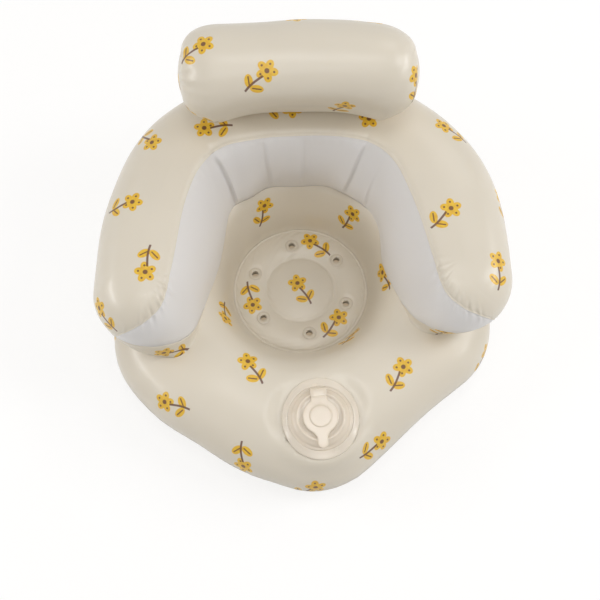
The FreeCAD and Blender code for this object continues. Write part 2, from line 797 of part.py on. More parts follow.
def make_outlet_flap():
    body = new_body("pump_outlet_flap", pump_placement())
    high = -cup_depth() - size("weld_gap")
    thick = size("outlet_flap_thickness")
    radius = size("outlet_flap_radius")

    def draw(sketch):
        draw_circle(sketch, ZERO, ZERO, radius)

    pad(body, "outlet_flap_disc", draw, high - thick, thick)
    return body


# Deflation valve

def make_valve():
    place = valve_placement()
    flange = new_body("valve_flange", place)
    bore, neck = size("neck_inner_radius"), size("neck_outer_radius")
    rim, thick = size("valve_flange_radius"), size("valve_flange_thickness")
    deep = -size("neck_depth")
    corners = [(bore, deep), (neck, deep), (neck, ZERO), (rim, ZERO), (rim, thick), (bore, thick)]
    revolve(flange, "valve_flange_turned", corners)

    plug = new_body("valve_plug", place)
    low = thick + size("weld_gap")
    cap, lip = size("valve_cap_radius"), size("valve_cap_thickness")
    end = size("valve_plug_end_radius")
    top = bore - size("weld_gap") * 2
    depth = low - size("valve_plug_depth")
    corners = [(ZERO, depth), (end, depth), (top, low), (cap, low), (cap, low + lip), (ZERO, low + lip)]
    revolve(plug, "valve_plug_turned", corners)
    half, reach = size("valve_strap_half_width"), size("valve_strap_reach")
    bend = size("valve_hinge_drop")

    def draw_tongue(sketch):
        edge = -(bend - size("hinge_gap"))
        draw_outline(sketch, [(-half, edge), (half, edge), (half, ZERO), (-half, ZERO)])

    pad(plug, "valve_plug_tongue", draw_tongue, low, lip)

    strap = new_body("valve_plug_strap", place)

    def draw(sketch):
        draw_outline(sketch, [(-half, -reach), (half, -reach), (half, -bend), (-half, -bend)])

    pad(strap, "valve_strap_pad", draw, low, lip)

    check = new_body("valve_check_flap", place)
    top_face = deep - size("weld_gap")
    flap = size("check_flap_thickness")

    def draw_check(sketch):
        draw_circle(sketch, ZERO, ZERO, size("check_flap_radius"))

    pad(check, "check_flap_disc", draw_check, top_face - flap, flap)
    return [flange, plug, strap, check]


pieces = make_base()
pieces += [floor_sheet("seat_floor_upper_sheet", 1), floor_sheet("seat_floor_lower_sheet", -1)]
pieces += [make_eyelets()]
pieces += make_ring()
pieces += make_headrest()
pieces += [make_pump_flange(), make_pump_cup(), make_pump_dome(), make_pump_foam()]
pieces += [make_pump_flap(), make_flap_strap(), make_outlet_flap()]
pieces += make_valve()
doc.recompute()

# Checks before anything is written
for thing in doc.Objects:
    bad = [state for state in thing.State if state in ("Invalid", "Error")]
    if bad:
        raise RuntimeError(f"{thing.Label}: {bad}")
for piece in pieces:
    if piece.Shape.isNull() or not piece.Shape.isValid() or not piece.Shape.Solids:
        raise RuntimeError(f"{piece.Label} has no valid solid")

for piece in pieces:
    piece.Shape.exportStep(f"parts/{piece.Label}.step")
    box = piece.Shape.BoundBox
    print(f"{piece.Label}: {len(piece.Shape.Solids)} solid, {piece.Shape.Volume / 1000:.2f} cm3, "
          f"x {box.XMin:.1f} {box.XMax:.1f}, y {box.YMin:.1f} {box.YMax:.1f}, "
          f"z {box.ZMin:.1f} {box.ZMax:.1f}")
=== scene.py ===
import random
from math import acos, atan, atan2, cos, degrees, exp, hypot, pi, radians, sin, sqrt, tan
from contextlib import contextmanager
import bmesh
import bpy
import numpy as np
from numpy.linalg import norm
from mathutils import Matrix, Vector


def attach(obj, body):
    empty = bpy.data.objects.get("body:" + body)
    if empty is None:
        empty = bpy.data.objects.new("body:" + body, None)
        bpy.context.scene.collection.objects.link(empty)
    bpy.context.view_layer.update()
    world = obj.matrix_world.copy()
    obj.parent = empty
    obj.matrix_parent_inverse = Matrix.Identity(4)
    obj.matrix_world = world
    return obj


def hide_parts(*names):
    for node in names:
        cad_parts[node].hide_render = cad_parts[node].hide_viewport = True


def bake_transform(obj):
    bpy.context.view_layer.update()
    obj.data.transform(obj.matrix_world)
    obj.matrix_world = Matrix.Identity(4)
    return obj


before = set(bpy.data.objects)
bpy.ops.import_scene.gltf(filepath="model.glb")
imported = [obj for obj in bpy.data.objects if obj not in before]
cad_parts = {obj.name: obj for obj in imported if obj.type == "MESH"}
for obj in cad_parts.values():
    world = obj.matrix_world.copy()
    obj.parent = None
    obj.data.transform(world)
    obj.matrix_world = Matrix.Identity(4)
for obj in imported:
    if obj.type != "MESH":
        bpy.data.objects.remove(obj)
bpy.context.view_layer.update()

# Inflatable baby seat. Shapes are worked out in millimetres, and meshes are in metres.
MM = 0.001
ROOT = "seat"
FILM = 0.6

# Base chamber
BASE_TOP = 104
BASE_SEAM = 52
BASE_HALF_WIDTH = 243
BASE_NOSE = 282
BASE_BACK = 230
FLANK_ANGLE = radians(38.5)
NOSE_RADIUS = 116
CHEEK_RADIUS = 112
BACK_RADIUS = 205
TOP_ROUND = 58
BOTTOM_ROUND = 44
WELL_RADIUS = 90
WELL_SLOPE = 66
WELL_SHOULDER = 46
WELL_BACK_SLOPE = 72
WELL_BACK_SHOULDER = 32
WELL_LOW = 16
FOOT_REACH = 20
BASE_COLUMNS = 320
BASE_ROWS = 56
# Ring
RING_HEIGHT = 107
RING_HALF_WIDTH = 255
RING_BACK = 240
RING_FRONT = 120
RING_BACK_RADIUS = 220
RING_LOW_ROUND = 30
RING_END_ROUND = 1
RING_HIGH_ROUND = 48
RING_WIDEST = 0.48
RING_SEAM = 0.95
RING_CROWN = 2.0
WALL_BACK_HALF = 83
WALL_FRONT_HALF = 143
WALL_BACK = 117
WALL_SIDE_LEAN = 31
WALL_BACK_LEAN = 11
WALL_CORNER = 60
WALL_CORNER_GROWTH = 18
WALL_FACE = 1.8
WALL_BULGE = 7
CREST_ROUND = 12
WALL_SPLAY = (WALL_FRONT_HALF - WALL_BACK_HALF) / (WALL_BACK + RING_FRONT)
# Headrest
HEADREST_CENTRE = np.array([6.0, 175.0, 270.0])
HEADREST_RADIUS = 61
HEADREST_END = 138
HEADREST_END_RADIUS = 30
HEADREST_END_ROUND = 44
HEADREST_END_SWELL = 6.0
HEADREST_YAW = radians(-1.3)
# Seat floor
FLOOR_WELD = 15
INNER_WELD = 46
EYELET_CIRCLE = 65
EYELET_HOLE = 4.2
EYELET_ANGLES = [radians(38 + 60 * k) for k in range(6)]
# Pump and valve
PUMP_PLACE = np.array([15.0, -204.0, 101.4])
PUMP_TILT = radians(3)
PUMP_TURN = radians(2.5)
PUMP_OPENING = 42.5
FLANGE_HALF_WIDTH = 46.8
FLANGE_HALF_LENGTH = 50.4
VALVE_PLACE = np.array([0.0, 237.8, 155.0])
VALVE_OPENING = 8.8
# Print: half a motif's length, the least way between two, and how far from its middle a motif is drawn
MOTIF_HALF = 24.0
MOTIF_SPACING = 80.0
MOTIF_REACH = MOTIF_HALF * 1.7
NO_MOTIF = (6, 6)
# No motif's middle is low in the well, or within these reaches of the arms' feet, the pump, the valve or
# the ring's seam
WELL_CLEAR_HEIGHT = 47
WELL_CLEAR_RADIUS = 130
FOOT_PLACE = (184, -128)
FOOT_CLEAR = 42
PUMP_CLEAR = 73
VALVE_CLEAR = 48
SEAM_CLEAR = 21


# Curves in numbers

def circle(count):
    """Even angles all the way round."""
    return np.linspace(0, 2 * pi, count, endpoint=False)


def held(value):
    """A value held between 0 and 1."""
    return np.clip(value, 0, 1)


def ease(value):
    """A value held between 0 and 1 that sets off and ends slowly."""
    value = held(value)
    return value * value * (3 - 2 * value)


def bell(value, centre, width):
    return np.exp(-((value - centre) / width) ** 2)


def bells(value, rows):
    """Sum of bells, each given by its height, centre and width."""
    return sum(height * bell(value, centre, width) for height, centre, width in rows)


def roll(reach, share):
    """How far a quarter round stands back at a share of its height."""
    return reach * (1 - sqrt(max(1 - share * share, 0)))


def path_lengths(paths):
    """How far along its path each point is, for one path or for every column of a grid."""
    steps = norm(np.diff(paths[..., :3], axis=-2), axis=-1)
    return np.cumsum(np.insert(steps, 0, 0, axis=-1), axis=-1)


def read_off(wanted, places, path):
    """Points of a path at the wanted places."""
    return np.stack([np.interp(wanted, places, column) for column in path.T], axis=1)


def resample(path, count, power=1.0):
    """Points spread along a path by its length, closer together at its start where the power is over 1."""
    along = path_lengths(path)
    return read_off(along[-1] * np.linspace(0, 1, count) ** power, along, path)


def kernel(width, most=1000):
    """Gaussian weights, and how many steps they reach to each side."""
    reach = min(max(int(width * 3), 1), most)
    weights = np.exp(-0.5 * (np.arange(-reach, reach + 1) / width) ** 2)
    return weights / weights.sum(), reach


def soften_ends_kept(path, width):
    """Gaussian smoothing along a path that leaves both ends where they are."""
    weights, reach = kernel(width, len(path) - 1)
    before = 2 * path[0] - path[reach:0:-1]
    after = 2 * path[-1] - path[-2:-reach - 2:-1]
    padded = np.concatenate([before, path, after])
    return np.stack([np.convolve(column, weights, "valid") for column in padded.T], axis=1)


def soften_loop(grid, width):
    """Gaussian smoothing round the first axis of a closed grid."""
    weights, reach = kernel(width)
    return sum(weight * np.roll(grid, k - reach, axis=0) for k, weight in enumerate(weights))


def unit(vectors):
    return vectors / norm(vectors, axis=-1, keepdims=True)


def cross(first, second):
    return first[..., 0] * second[..., 1] - first[..., 1] * second[..., 0]


def left_of(vectors):
    """Plan vectors turned a quarter to the left."""
    return np.stack([-vectors[..., 1], vectors[..., 0]], axis=-1)


def spun(angle):
    """Plan axes turned to the left, as columns."""
    c, s = cos(angle), sin(angle)
    return np.array([[c, -s, 0], [s, c, 0], [0, 0, 1]])


def smooth_curve(points, count):
    """Even points on a Catmull-Rom curve through a few points."""
    points = np.array(points, float)
    padded = np.concatenate([[2 * points[0] - points[1]], points, [2 * points[-1] - points[-2]]])
    fine = []
    for a, b, c, d in zip(padded, padded[1:], padded[2:], padded[3:]):
        for t in np.linspace(0, 1, 24, endpoint=False):
            fine.append(0.5 * (2 * b + (c - a) * t + (2 * a - 5 * b + 4 * c - d) * t * t
                               + (3 * b - a - 3 * c + d) * t ** 3))
    fine.append(points[-1])
    return resample(np.array(fine), count)


def rounded_outline(corners, radii):
    """Fine points of a closed outline in the plane, each corner rounded by its radius."""
    corners = np.array(corners, float)
    points = []
    for corner, before, after, radius in zip(corners, np.roll(corners, 1, 0), np.roll(corners, -1, 0), radii):
        back, ahead = unit(before - corner), unit(after - corner)
        half = acos(np.clip(back @ ahead, -1, 1)) / 2
        centre = corner + unit(back + ahead) * (radius / sin(half))
        start = corner + back * (radius / tan(half)) - centre
        turn = (pi - 2 * half) * (-1 if cross(back, ahead) > 0 else 1)
        points += [centre + spun(angle)[:2, :2] @ start for angle in np.linspace(0, turn, 28)]
    return np.array(points)


def reach_of(outline, start, direction):
    """Distance from start to a closed outline along a direction."""
    edge = np.roll(outline, -1, axis=0) - outline
    gap = outline - start
    slope = cross(np.asarray(direction), edge)
    slope = np.where(np.abs(slope) < 1e-12, 1e-12, slope)
    along, share = cross(gap, edge) / slope, cross(gap, np.asarray(direction)) / slope
    return along[(share >= -1e-9) & (share <= 1 + 1e-9) & (along > 0)].min()


def polar(radius, angle, height):
    """Points from radii, angles and heights."""
    return np.stack(np.broadcast_arrays(radius * np.cos(angle), radius * np.sin(angle), height), axis=-1)


def ripples(along, wavelength, seed):
    """Uneven wave along a length, between about -1 and 1."""
    chance = random.Random(seed)
    total = np.zeros_like(along, dtype=float)
    for _ in range(7):
        length = wavelength * chance.uniform(0.72, 1.5)
        total += np.sin(2 * pi * (along / length + chance.random()))
    return total / 3.2


def swell_noise(points, size, seed):
    """Slow uneven swelling over a surface, between about -1 and 1."""
    chance = random.Random(seed)
    total = np.zeros(points.shape[:-1])
    for _ in range(9):
        way = np.array([chance.gauss(0, 1) for _ in range(3)])
        way *= 2 * pi / (size * chance.uniform(0.7, 1.6)) / norm(way)
        total += np.sin(points @ way + chance.uniform(0, 2 * pi))
    return total / 4


def seam_relief(distance, along, pucker, wavelength, seed, reach=11):
    """Height of a weld's ridge and grooves, and of the puckers beside it, at a distance from the weld."""
    ridge = 0.4 * bell(distance, 0, 0.9) - 0.4 * bell(distance, 2.2, 1.5)
    waves = ripples(along, wavelength, seed)
    return ridge + pucker * waves * np.exp(-(distance / reach) ** 1.3) * np.clip(distance / 3, 0.2, 1)


# Meshes

def grid_normals(grid):
    """Unit normals of a closed grid, outwards for columns that run counter-clockwise and rows that rise."""
    across = np.roll(grid, -1, axis=0) - np.roll(grid, 1, axis=0)
    normal = np.cross(across, np.gradient(grid, axis=1))
    size = norm(normal, axis=2, keepdims=True)
    return normal / np.where(size < 1e-9, 1, size)


def grid_faces(columns, rows, closed=True, looped=False):
    """Faces of a grid. Its last column joins the first one if closed, and its last row if looped."""
    faces = []
    for i in range(columns if closed else columns - 1):
        j = (i + 1) % columns
        for k in range(rows if looped else rows - 1):
            m = (k + 1) % rows
            faces.append((i * rows + k, j * rows + k, j * rows + m, i * rows + m))
    return faces


def cap_faces(columns, rows, row, centre):
    """Triangles from one row of a closed grid to a point in its middle."""
    return [(i * rows + row, (i + 1) % columns * rows + row, centre) for i in range(columns)]


def flipped(faces):
    return [face[::-1] for face in faces]


def tipped(grid, tip):
    """Points and faces of a closed grid whose last row runs in to a tip."""
    columns, rows = grid.shape[:2]
    points = np.concatenate([grid.reshape(-1, 3), [tip]])
    return points, grid_faces(columns, rows) + cap_faces(columns, rows, rows - 1, columns * rows)


def new_piece(name, points, faces, material, body=ROOT):
    """A mesh on its body, in the slot of its material."""
    mesh = bpy.data.meshes.new(name)
    mesh.from_pydata([tuple(p) for p in np.reshape(points, (-1, 3)) * MM], [], faces)
    mesh.polygons.foreach_set("use_smooth", [True] * len(mesh.polygons))
    mesh.materials.append(material)
    piece = bpy.data.objects.new(name, mesh)
    bpy.context.collection.objects.link(piece)
    if body:
        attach(piece, body)
    return piece


def thicken(piece):
    """Gives an open sheet its thickness, inwards."""
    modifier = piece.modifiers.new("film", "SOLIDIFY")
    modifier.thickness = FILM * MM
    modifier.offset = -1
    bpy.context.view_layer.update()
    graph = bpy.context.evaluated_depsgraph_get()
    piece.data = bpy.data.meshes.new_from_object(piece.evaluated_get(graph), depsgraph=graph)
    piece.modifiers.clear()


@contextmanager
def edited(piece):
    """A piece's mesh, to be changed."""
    work = bmesh.new()
    work.from_mesh(piece.data)
    yield work
    work.to_mesh(piece.data)
    work.free()


def drop_faces(piece, test):
    """Deletes the faces that have a corner for which test is true."""
    with edited(piece) as work:
        gone = [face for face in work.faces if any(test(v.co) for v in face.verts)]
        bmesh.ops.delete(work, geom=gone, context="FACES")


def open_hole(piece, centre, radius):
    """Opens a round hole: its faces go, and the corners round it move to its edge."""
    with edited(piece) as work:
        gone = [face for face in work.faces if (face.calc_center_median().xy - centre.xy).length < radius]
        bmesh.ops.delete(work, geom=gone, context="FACES")
        for vertex in work.verts:
            gap = vertex.co.xy - centre.xy
            if vertex.is_boundary and gap.length < radius * 1.8:
                vertex.co.xy = centre.xy + gap.normalized() * radius


def read(items, key, width=1, kind=float):
    """A number or a vector for each of a mesh's items."""
    values = np.empty(len(items) * width, kind)
    items.foreach_get(key, values)
    return values.reshape(-1, width) if width > 1 else values


def add_print(piece, seed, spots=(), avoid=None):
    """Spreads motifs over a piece by chance, or puts them at given spots with their turns."""
    mesh = piece.data
    centres = read(mesh.polygons, "center", 3) / MM
    normals = read(mesh.polygons, "normal", 3)
    chance = random.Random(seed)
    order = list(range(len(centres)))
    chance.shuffle(order)
    chosen = [int(np.argmin(norm(centres - spot, axis=1))) for spot, _ in spots]
    for index in () if spots else order:
        place = centres[index]
        if avoid and avoid(place):
            continue
        if all(norm(place - centres[other]) > MOTIF_SPACING for other in chosen):
            chosen.append(index)
    axes = []
    for number, index in enumerate(chosen):
        side = unit(np.cross(normals[index], [0.0, 0.1, 1.0]))
        ahead = np.cross(normals[index], side)
        turn = spots[number][1] if spots else chance.uniform(0, 2 * pi)
        first = side * cos(turn) + ahead * sin(turn)
        axes.append((first, np.cross(normals[index], first)))
    distance = norm(centres[:, None] - centres[chosen], axis=2)
    # Each corner of a face takes its place on the motif nearest to the face
    face_of = np.repeat(np.arange(len(centres)), read(mesh.polygons, "loop_total", kind=int))
    motif = distance.argmin(axis=1)[face_of]
    corners = read(mesh.loops, "vertex_index", kind=int)
    gap = read(mesh.vertices, "co", 3)[corners] / MM - centres[chosen][motif]
    flat = (gap[:, None] * np.array(axes)[motif]).sum(axis=2)
    size = norm(flat, axis=1, keepdims=True)
    length = norm(gap, axis=1, keepdims=True)
    flat *= np.where(size > 1e-6, length / np.maximum(size, 1e-6), 1)
    flat /= MOTIF_HALF
    flat[distance.min(axis=1)[face_of] > MOTIF_REACH] = NO_MOTIF
    mesh.uv_layers.new(name="print").data.foreach_set("uv", flat.ravel())


# Materials

def set_inputs(tree, node, inputs):
    """Links wires and sockets to a node's inputs, and writes plain values there."""
    for name, value in inputs.items():
        value = getattr(value, "socket", value)
        if isinstance(value, bpy.types.NodeSocket):
            tree.links.new(value, node.inputs[name])
        else:
            node.inputs[name].default_value = value


def add_node(tree, kind, inputs=None, **settings):
    node = tree.nodes.new("ShaderNode" + kind)
    for name, value in settings.items():
        setattr(node, name, value)
    set_inputs(tree, node, inputs or {})
    return node


class Wire:
    """A value in a material, with arithmetic that adds Math nodes."""

    def __init__(self, tree, socket):
        self.tree = tree
        self.socket = socket

    def math(self, kind, *others):
        node = add_node(self.tree, "Math", dict(enumerate((self,) + others)), operation=kind)
        return Wire(self.tree, node.outputs[0])

    def __add__(self, other):
        return self.math("ADD", other)

    def __sub__(self, other):
        return self.math("SUBTRACT", other)

    def __mul__(self, other):
        return self.math("MULTIPLY", other)

    def below(self, limit, soft=0.02):
        """1 where this is under the limit, 0 above it, with a soft edge."""
        return ((self - limit) * (-1 / soft) + 0.5).math("MAXIMUM", 0.0).math("MINIMUM", 1.0)

    def ranged(self, low, high):
        """A noise value spread from low to high."""
        node = add_node(self.tree, "MapRange", {
            "From Min": 0.3, "From Max": 0.7, "To Min": low, "To Max": high, "Value": self,
        })
        return Wire(self.tree, node.outputs[0])


def size_of(first, second):
    return (first * first + second * second).math("SQRT")


def srgb(red, green, blue):
    def line(value):
        value /= 255
        return value / 12.92 if value <= 0.04045 else ((value + 0.055) / 1.055) ** 2.4
    return (line(red), line(green), line(blue), 1)


def tinted(colour, factor):
    return tuple(min(c * factor, 1) for c in colour[:3]) + (1,)


def new_material(name):
    material = bpy.data.materials.new(name)
    material.use_nodes = True
    tree = material.node_tree
    tree.nodes.clear()
    shader = add_node(tree, "BsdfPrincipled")
    output = add_node(tree, "OutputMaterial", {0: shader.outputs[0]})
    return material, tree, shader, output


def coordinates(tree):
    return add_node(tree, "TexCoord").outputs["Object"]


def noise(tree, scale, detail=3.0, roughness=0.5):
    node = add_node(tree, "TexNoise", {"Scale": scale, "Detail": detail, "Roughness": roughness,
                                       "Vector": coordinates(tree)})
    return Wire(tree, node.outputs[0])


def mix(tree, share, first, second):
    """Colour mix of two colours or sockets."""
    return add_node(tree, "Mix", {0: share, 6: first, 7: second}, data_type="RGBA").outputs[2]


def flat_wires(tree, vector):
    """The first two parts of a vector."""
    parts = add_node(tree, "SeparateXYZ", {0: vector})
    return Wire(tree, parts.outputs[0]), Wire(tree, parts.outputs[1])


def add_bumps(tree, shader, *layers):
    """Bumps one on another, each with its height, its strength and its distance in millimetres."""
    under = {}
    for height, strength, distance in layers:
        under["Normal"] = add_node(tree, "Bump", {"Height": height, "Strength": strength,
                                                  "Distance": distance * MM, **under}).outputs[0]
    set_inputs(tree, shader, under)


def motif_masks(tree):
    """Where the sprig's yellow and brown parts are: a flower with five petals, a stem and two leaves."""
    x, y = flat_wires(tree, add_node(tree, "UVMap", uv_map="print").outputs[0])
    head = y - 0.48
    far = size_of(x, head)
    angle = head.math("ARCTAN2", x)
    petal = (angle * 2.5).math("COSINE").math("ABSOLUTE")
    yellow = (far - petal * 0.22).below(0.33, 0.03)
    brown = far.below(0.12, 0.03)
    # A dot on each petal
    turn = angle * (2.5 / pi)
    folded = (turn - turn.math("ROUND")) * (pi / 2.5)
    along = far * folded.math("COSINE") - 0.35
    aside = far * folded.math("SINE")
    brown = brown.math("MAXIMUM", size_of(along, aside).below(0.055, 0.02))
    # Stem and its two leaves
    lean = x + (y * 2.6).math("SINE") * 0.07
    stem = lean.math("ABSOLUTE").below(0.055, 0.025) * (y + 0.4).math("ABSOLUTE").below(0.58, 0.03)
    side = x.math("ABSOLUTE") - 0.27
    rise = y + 0.48
    one = (side * 0.8 + rise * 0.6) * 3.0
    two = (rise * 0.8 - side * 0.6) * 4.9
    leaf = size_of(one, two)
    yellow = yellow.math("MAXIMUM", leaf.below(1.0, 0.1))
    vein = two.math("ABSOLUTE").below(0.16, 0.1) * leaf.below(0.7, 0.1)
    return yellow, brown.math("MAXIMUM", stem).math("MAXIMUM", vein)


# How film and moulded plastic look: the colour's slow change and its two ends, the scale of the gloss, the
# coat, the light that passes under the surface, and the scale, strength and depth of stretch marks and grain
FILM_LOOK = {
    "slow": (7, 2), "ends": (0.965, 1.02), "gloss": 34, "coat": 0.2, "under": (0.12, (0.012, 0.009, 0.006)),
    "marks": (20, 0.25, 3.0), "grain": (1500, 0.12, 0.08),
}
MOULDED_LOOK = {
    "slow": (22, 3), "ends": (0.95, 1), "gloss": 60, "coat": 0.16, "under": (0.1, (0.004, 0.003, 0.002)),
    "marks": (60, 0.12, 0.8), "grain": (2200, 0.15, 0.05),
}


def plastic(name, look, colour, roughness, printed=False):
    material, tree, shader, _ = new_material(name)
    base = mix(tree, noise(tree, *look["slow"]).ranged(0, 1), *(tinted(colour, end) for end in look["ends"]))
    if printed:
        yellow, brown = motif_masks(tree)
        ink = mix(tree, noise(tree, 260, 2).ranged(0, 1), srgb(226, 172, 18), srgb(240, 194, 26))
        base = mix(tree, yellow * 0.96, base, ink)
        base = mix(tree, brown * 0.92, base, srgb(98, 56, 38))
    weight, radius = look["under"]
    gloss = noise(tree, look["gloss"], 4).ranged(roughness - 0.04, roughness + 0.05)
    set_inputs(tree, shader, {
        "Base Color": base, "Roughness": gloss, "Coat Weight": 0.25, "Coat Roughness": look["coat"],
        "Subsurface Weight": weight, "Subsurface Radius": radius, "Subsurface Scale": 1.0,
    })
    marks, *marks_bump = look["marks"]
    grain, *grain_bump = look["grain"]
    add_bumps(tree, shader, (noise(tree, marks, 2, 0.4), *marks_bump), (noise(tree, grain, 2), *grain_bump))
    return material


def foam_material():
    material, tree, shader, _ = new_material("foam")
    cells = add_node(tree, "TexVoronoi", {"Scale": 900, "Vector": coordinates(tree)})
    pores_and_painted_shade = Wire(tree, cells.outputs["Distance"])
    # The pores' middles are painted a darker grey as shade in their pits, and the bump sinks them
    set_inputs(tree, shader, {
        "Base Color": mix(tree, pores_and_painted_shade, srgb(150, 150, 146), srgb(205, 204, 198)), "Roughness": 0.9,
    })
    add_bumps(tree, shader, (pores_and_painted_shade, 0.8, 0.6))
    return material


CREAM = srgb(226, 217, 200)
printed_film = plastic("printed_film", FILM_LOOK, CREAM, 0.38, printed=True)
plain_film = plastic("plain_film", FILM_LOOK, CREAM, 0.38)
white_film = plastic("white_film", FILM_LOOK, srgb(234, 232, 231), 0.42)
clear_film = plastic("clear_film", MOULDED_LOOK, srgb(228, 218, 203), 0.24)
pump_plastic = plastic("pump_plastic", MOULDED_LOOK, srgb(228, 216, 199), 0.18)
eyelet_film = plastic("eyelet_film", MOULDED_LOOK, srgb(211, 201, 184), 0.32)
foam = foam_material()


# Base chamber

def base_outline(inset):
    half = BASE_HALF_WIDTH - inset
    back = BASE_BACK - inset
    apex = BASE_NOSE + NOSE_RADIUS * (1 / cos(FLANK_ANGLE) - 1) - inset / cos(FLANK_ANGLE)
    cheek = -apex + half * tan(FLANK_ANGLE)
    corners = [(0, -apex), (half, cheek), (half, back), (-half, back), (-half, cheek)]
    rounds = [NOSE_RADIUS, CHEEK_RADIUS, BACK_RADIUS, BACK_RADIUS, CHEEK_RADIUS]
    return rounded_outline(corners, [r - inset for r in rounds])


base_angles = circle(BASE_COLUMNS)
# The left flank is fuller than the right one, which has a slight waist: height, angle in degrees, width
FLANK_BELLS = [(12.5, 225, 17), (-2.5, 215, 7), (4.5, 247, 9), (-5, 261, 7), (-4, 308, 15)]


def uneven_flank(radii, angle, still):
    """Moves radii out from the edge inwards, down to a radius that stays still."""
    extra = bells(degrees(angle), FLANK_BELLS)
    return radii + extra * held((radii - still) / (radii[0] - still))


def rolled_outlines(reach, levels=14):
    """Radius for each angle of the base's outlines as its edge rolls in, and how far each has risen."""
    radii, rises = [], []
    for angle in np.linspace(0, pi / 2, levels):
        outline = base_outline(reach * (1 - cos(angle)))
        radii.append([reach_of(outline, np.zeros(2), (cos(a), sin(a))) for a in base_angles])
        rises.append(sin(angle))
    return np.array(radii).T, np.array(rises)


def well_profile(angle):
    """Radii and heights of the well at an angle, from the crest down its shoulder and wall to the weld."""
    back = ease((sin(angle) + 0.25) / 0.8)
    slope = radians(WELL_SLOPE + (WELL_BACK_SLOPE - WELL_SLOPE) * back)
    shoulder = WELL_SHOULDER + (WELL_BACK_SHOULDER - WELL_SHOULDER) * back
    wall_end = BASE_TOP - shoulder * (1 - cos(slope))
    crest = WELL_RADIUS + (wall_end - WELL_LOW) / tan(slope) + shoulder * sin(slope)
    points = []
    for turn in np.linspace(0, slope, 12):
        points.append((crest - shoulder * sin(turn), BASE_TOP - shoulder * (1 - cos(turn))))
    edge = points[-1][0]
    for share in np.linspace(0, 1, 12)[1:]:
        swell = 3.5 * sin(pi * share)
        points.append((edge + (WELL_RADIUS + 2.5 - edge) * share - swell,
                       wall_end + (WELL_LOW - wall_end) * share))
    return np.array(points)


def base_grid():
    """Radii and heights of the base's top, from the seam over the crest into the well."""
    radii, rises = rolled_outlines(TOP_ROUND)
    profiles = []
    for i, angle in enumerate(base_angles):
        well = well_profile(angle)
        outer = uneven_flank(radii[i], angle, 165)
        # The crest is a low dome between the rolled edge and the well's shoulder
        stretch = 1 + np.clip(outer[-1] - well[0, 0], 0, 80) * 0.6 / (outer[0] - outer[-1])
        outer = outer[0] - (outer[0] - outer) * stretch
        path = [(r, BASE_SEAM + (BASE_TOP - BASE_SEAM) * rise ** 0.86) for r, rise in zip(outer, rises)]
        path += [tuple(p) for p in well if p[0] < path[-1][0]]
        path += [(WELL_RADIUS + 1.6, WELL_LOW + 0.6), (WELL_RADIUS + 0.2, WELL_LOW - 0.6)]
        fine = soften_ends_kept(resample(np.array(path), 260), 6)
        profiles.append(resample(fine[::-1], BASE_ROWS, 1.25)[::-1])
    return np.array(profiles)


base_profiles = base_grid()


def base_height_at(x, y):
    """Height of the base's top below a point."""
    turn = (atan2(y, x) % (2 * pi)) / (2 * pi) * BASE_COLUMNS
    low = int(turn) % BASE_COLUMNS
    share = turn - int(turn)
    heights = []
    for column in (low, (low + 1) % BASE_COLUMNS):
        radii, levels = base_profiles[column][::-1].T
        heights.append(np.interp(hypot(x, y), radii, levels))
    return heights[0] * (1 - share) + heights[1] * share


# The pump's own axes as columns
PUMP_AXES = np.roll(spun(PUMP_TILT), (1, 1), axis=(0, 1)) @ spun(PUMP_TURN)


def from_pump(points):
    return np.asarray(points) @ PUMP_AXES.T + PUMP_PLACE


def flange_droop(x, y):
    """How far the pump's flange hangs down at its sides."""
    far = np.maximum(np.hypot(x, y), 1)
    return 2.8 * np.clip((far - 41) / 6, 0, 1.2) * (x / far) ** 2


def seat_for_flange(points):
    """Presses a surface flat under the pump's flange."""
    local = (points - PUMP_PLACE) @ PUMP_AXES
    blend = ease((68 - norm(local[..., :2], axis=-1)) / 17)
    near = points[..., 2] > 80
    seat = -0.8 - flange_droop(local[..., 0], local[..., 1])
    local[..., 2] += np.where(near, (seat - local[..., 2]) * blend, 0)
    return from_pump(local)


def outer_seam(lengths):
    """Relief of the base's outer seam."""
    return seam_relief(lengths, base_angles[:, None] * 250, 0.5, 15, 3, 9)


def make_base_top():
    grid = polar(base_profiles[..., 0], base_angles[:, None], base_profiles[..., 1])
    from_seam = path_lengths(grid)
    from_weld = from_seam[:, -1:] - from_seam
    waves = ripples(base_angles[:, None] * WELL_RADIUS, 21, 5)
    lift = outer_seam(from_seam)
    lift += 0.8 * waves * np.exp(-from_weld / 14) * held((from_weld - 2) / 5)
    lift += 1.1 * swell_noise(grid, 150, 8) * held(from_weld / 30) * held(from_seam / 30)
    grid = seat_for_flange(grid + grid_normals(grid) * lift[..., None])
    piece = new_piece("base_top", grid, grid_faces(BASE_COLUMNS, BASE_ROWS), printed_film)
    axis = Vector(PUMP_AXES[:, 2])
    pump = Vector(PUMP_PLACE * MM)

    def over_cup(point):
        gap = point - pump
        return point.z > 0.08 and (gap - axis * gap.dot(axis)).length < PUMP_OPENING * MM

    def beside_joins(place):
        low = place[2] < WELL_CLEAR_HEIGHT and hypot(place[0], place[1]) < WELL_CLEAR_RADIUS
        near_foot = hypot(abs(place[0]) - FOOT_PLACE[0], place[1] - FOOT_PLACE[1]) < FOOT_CLEAR
        return low or near_foot or norm(place - PUMP_PLACE) < PUMP_CLEAR

    drop_faces(piece, over_cup)
    add_print(piece, 11, avoid=beside_joins)
    thicken(piece)
    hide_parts("base_upper_skin")


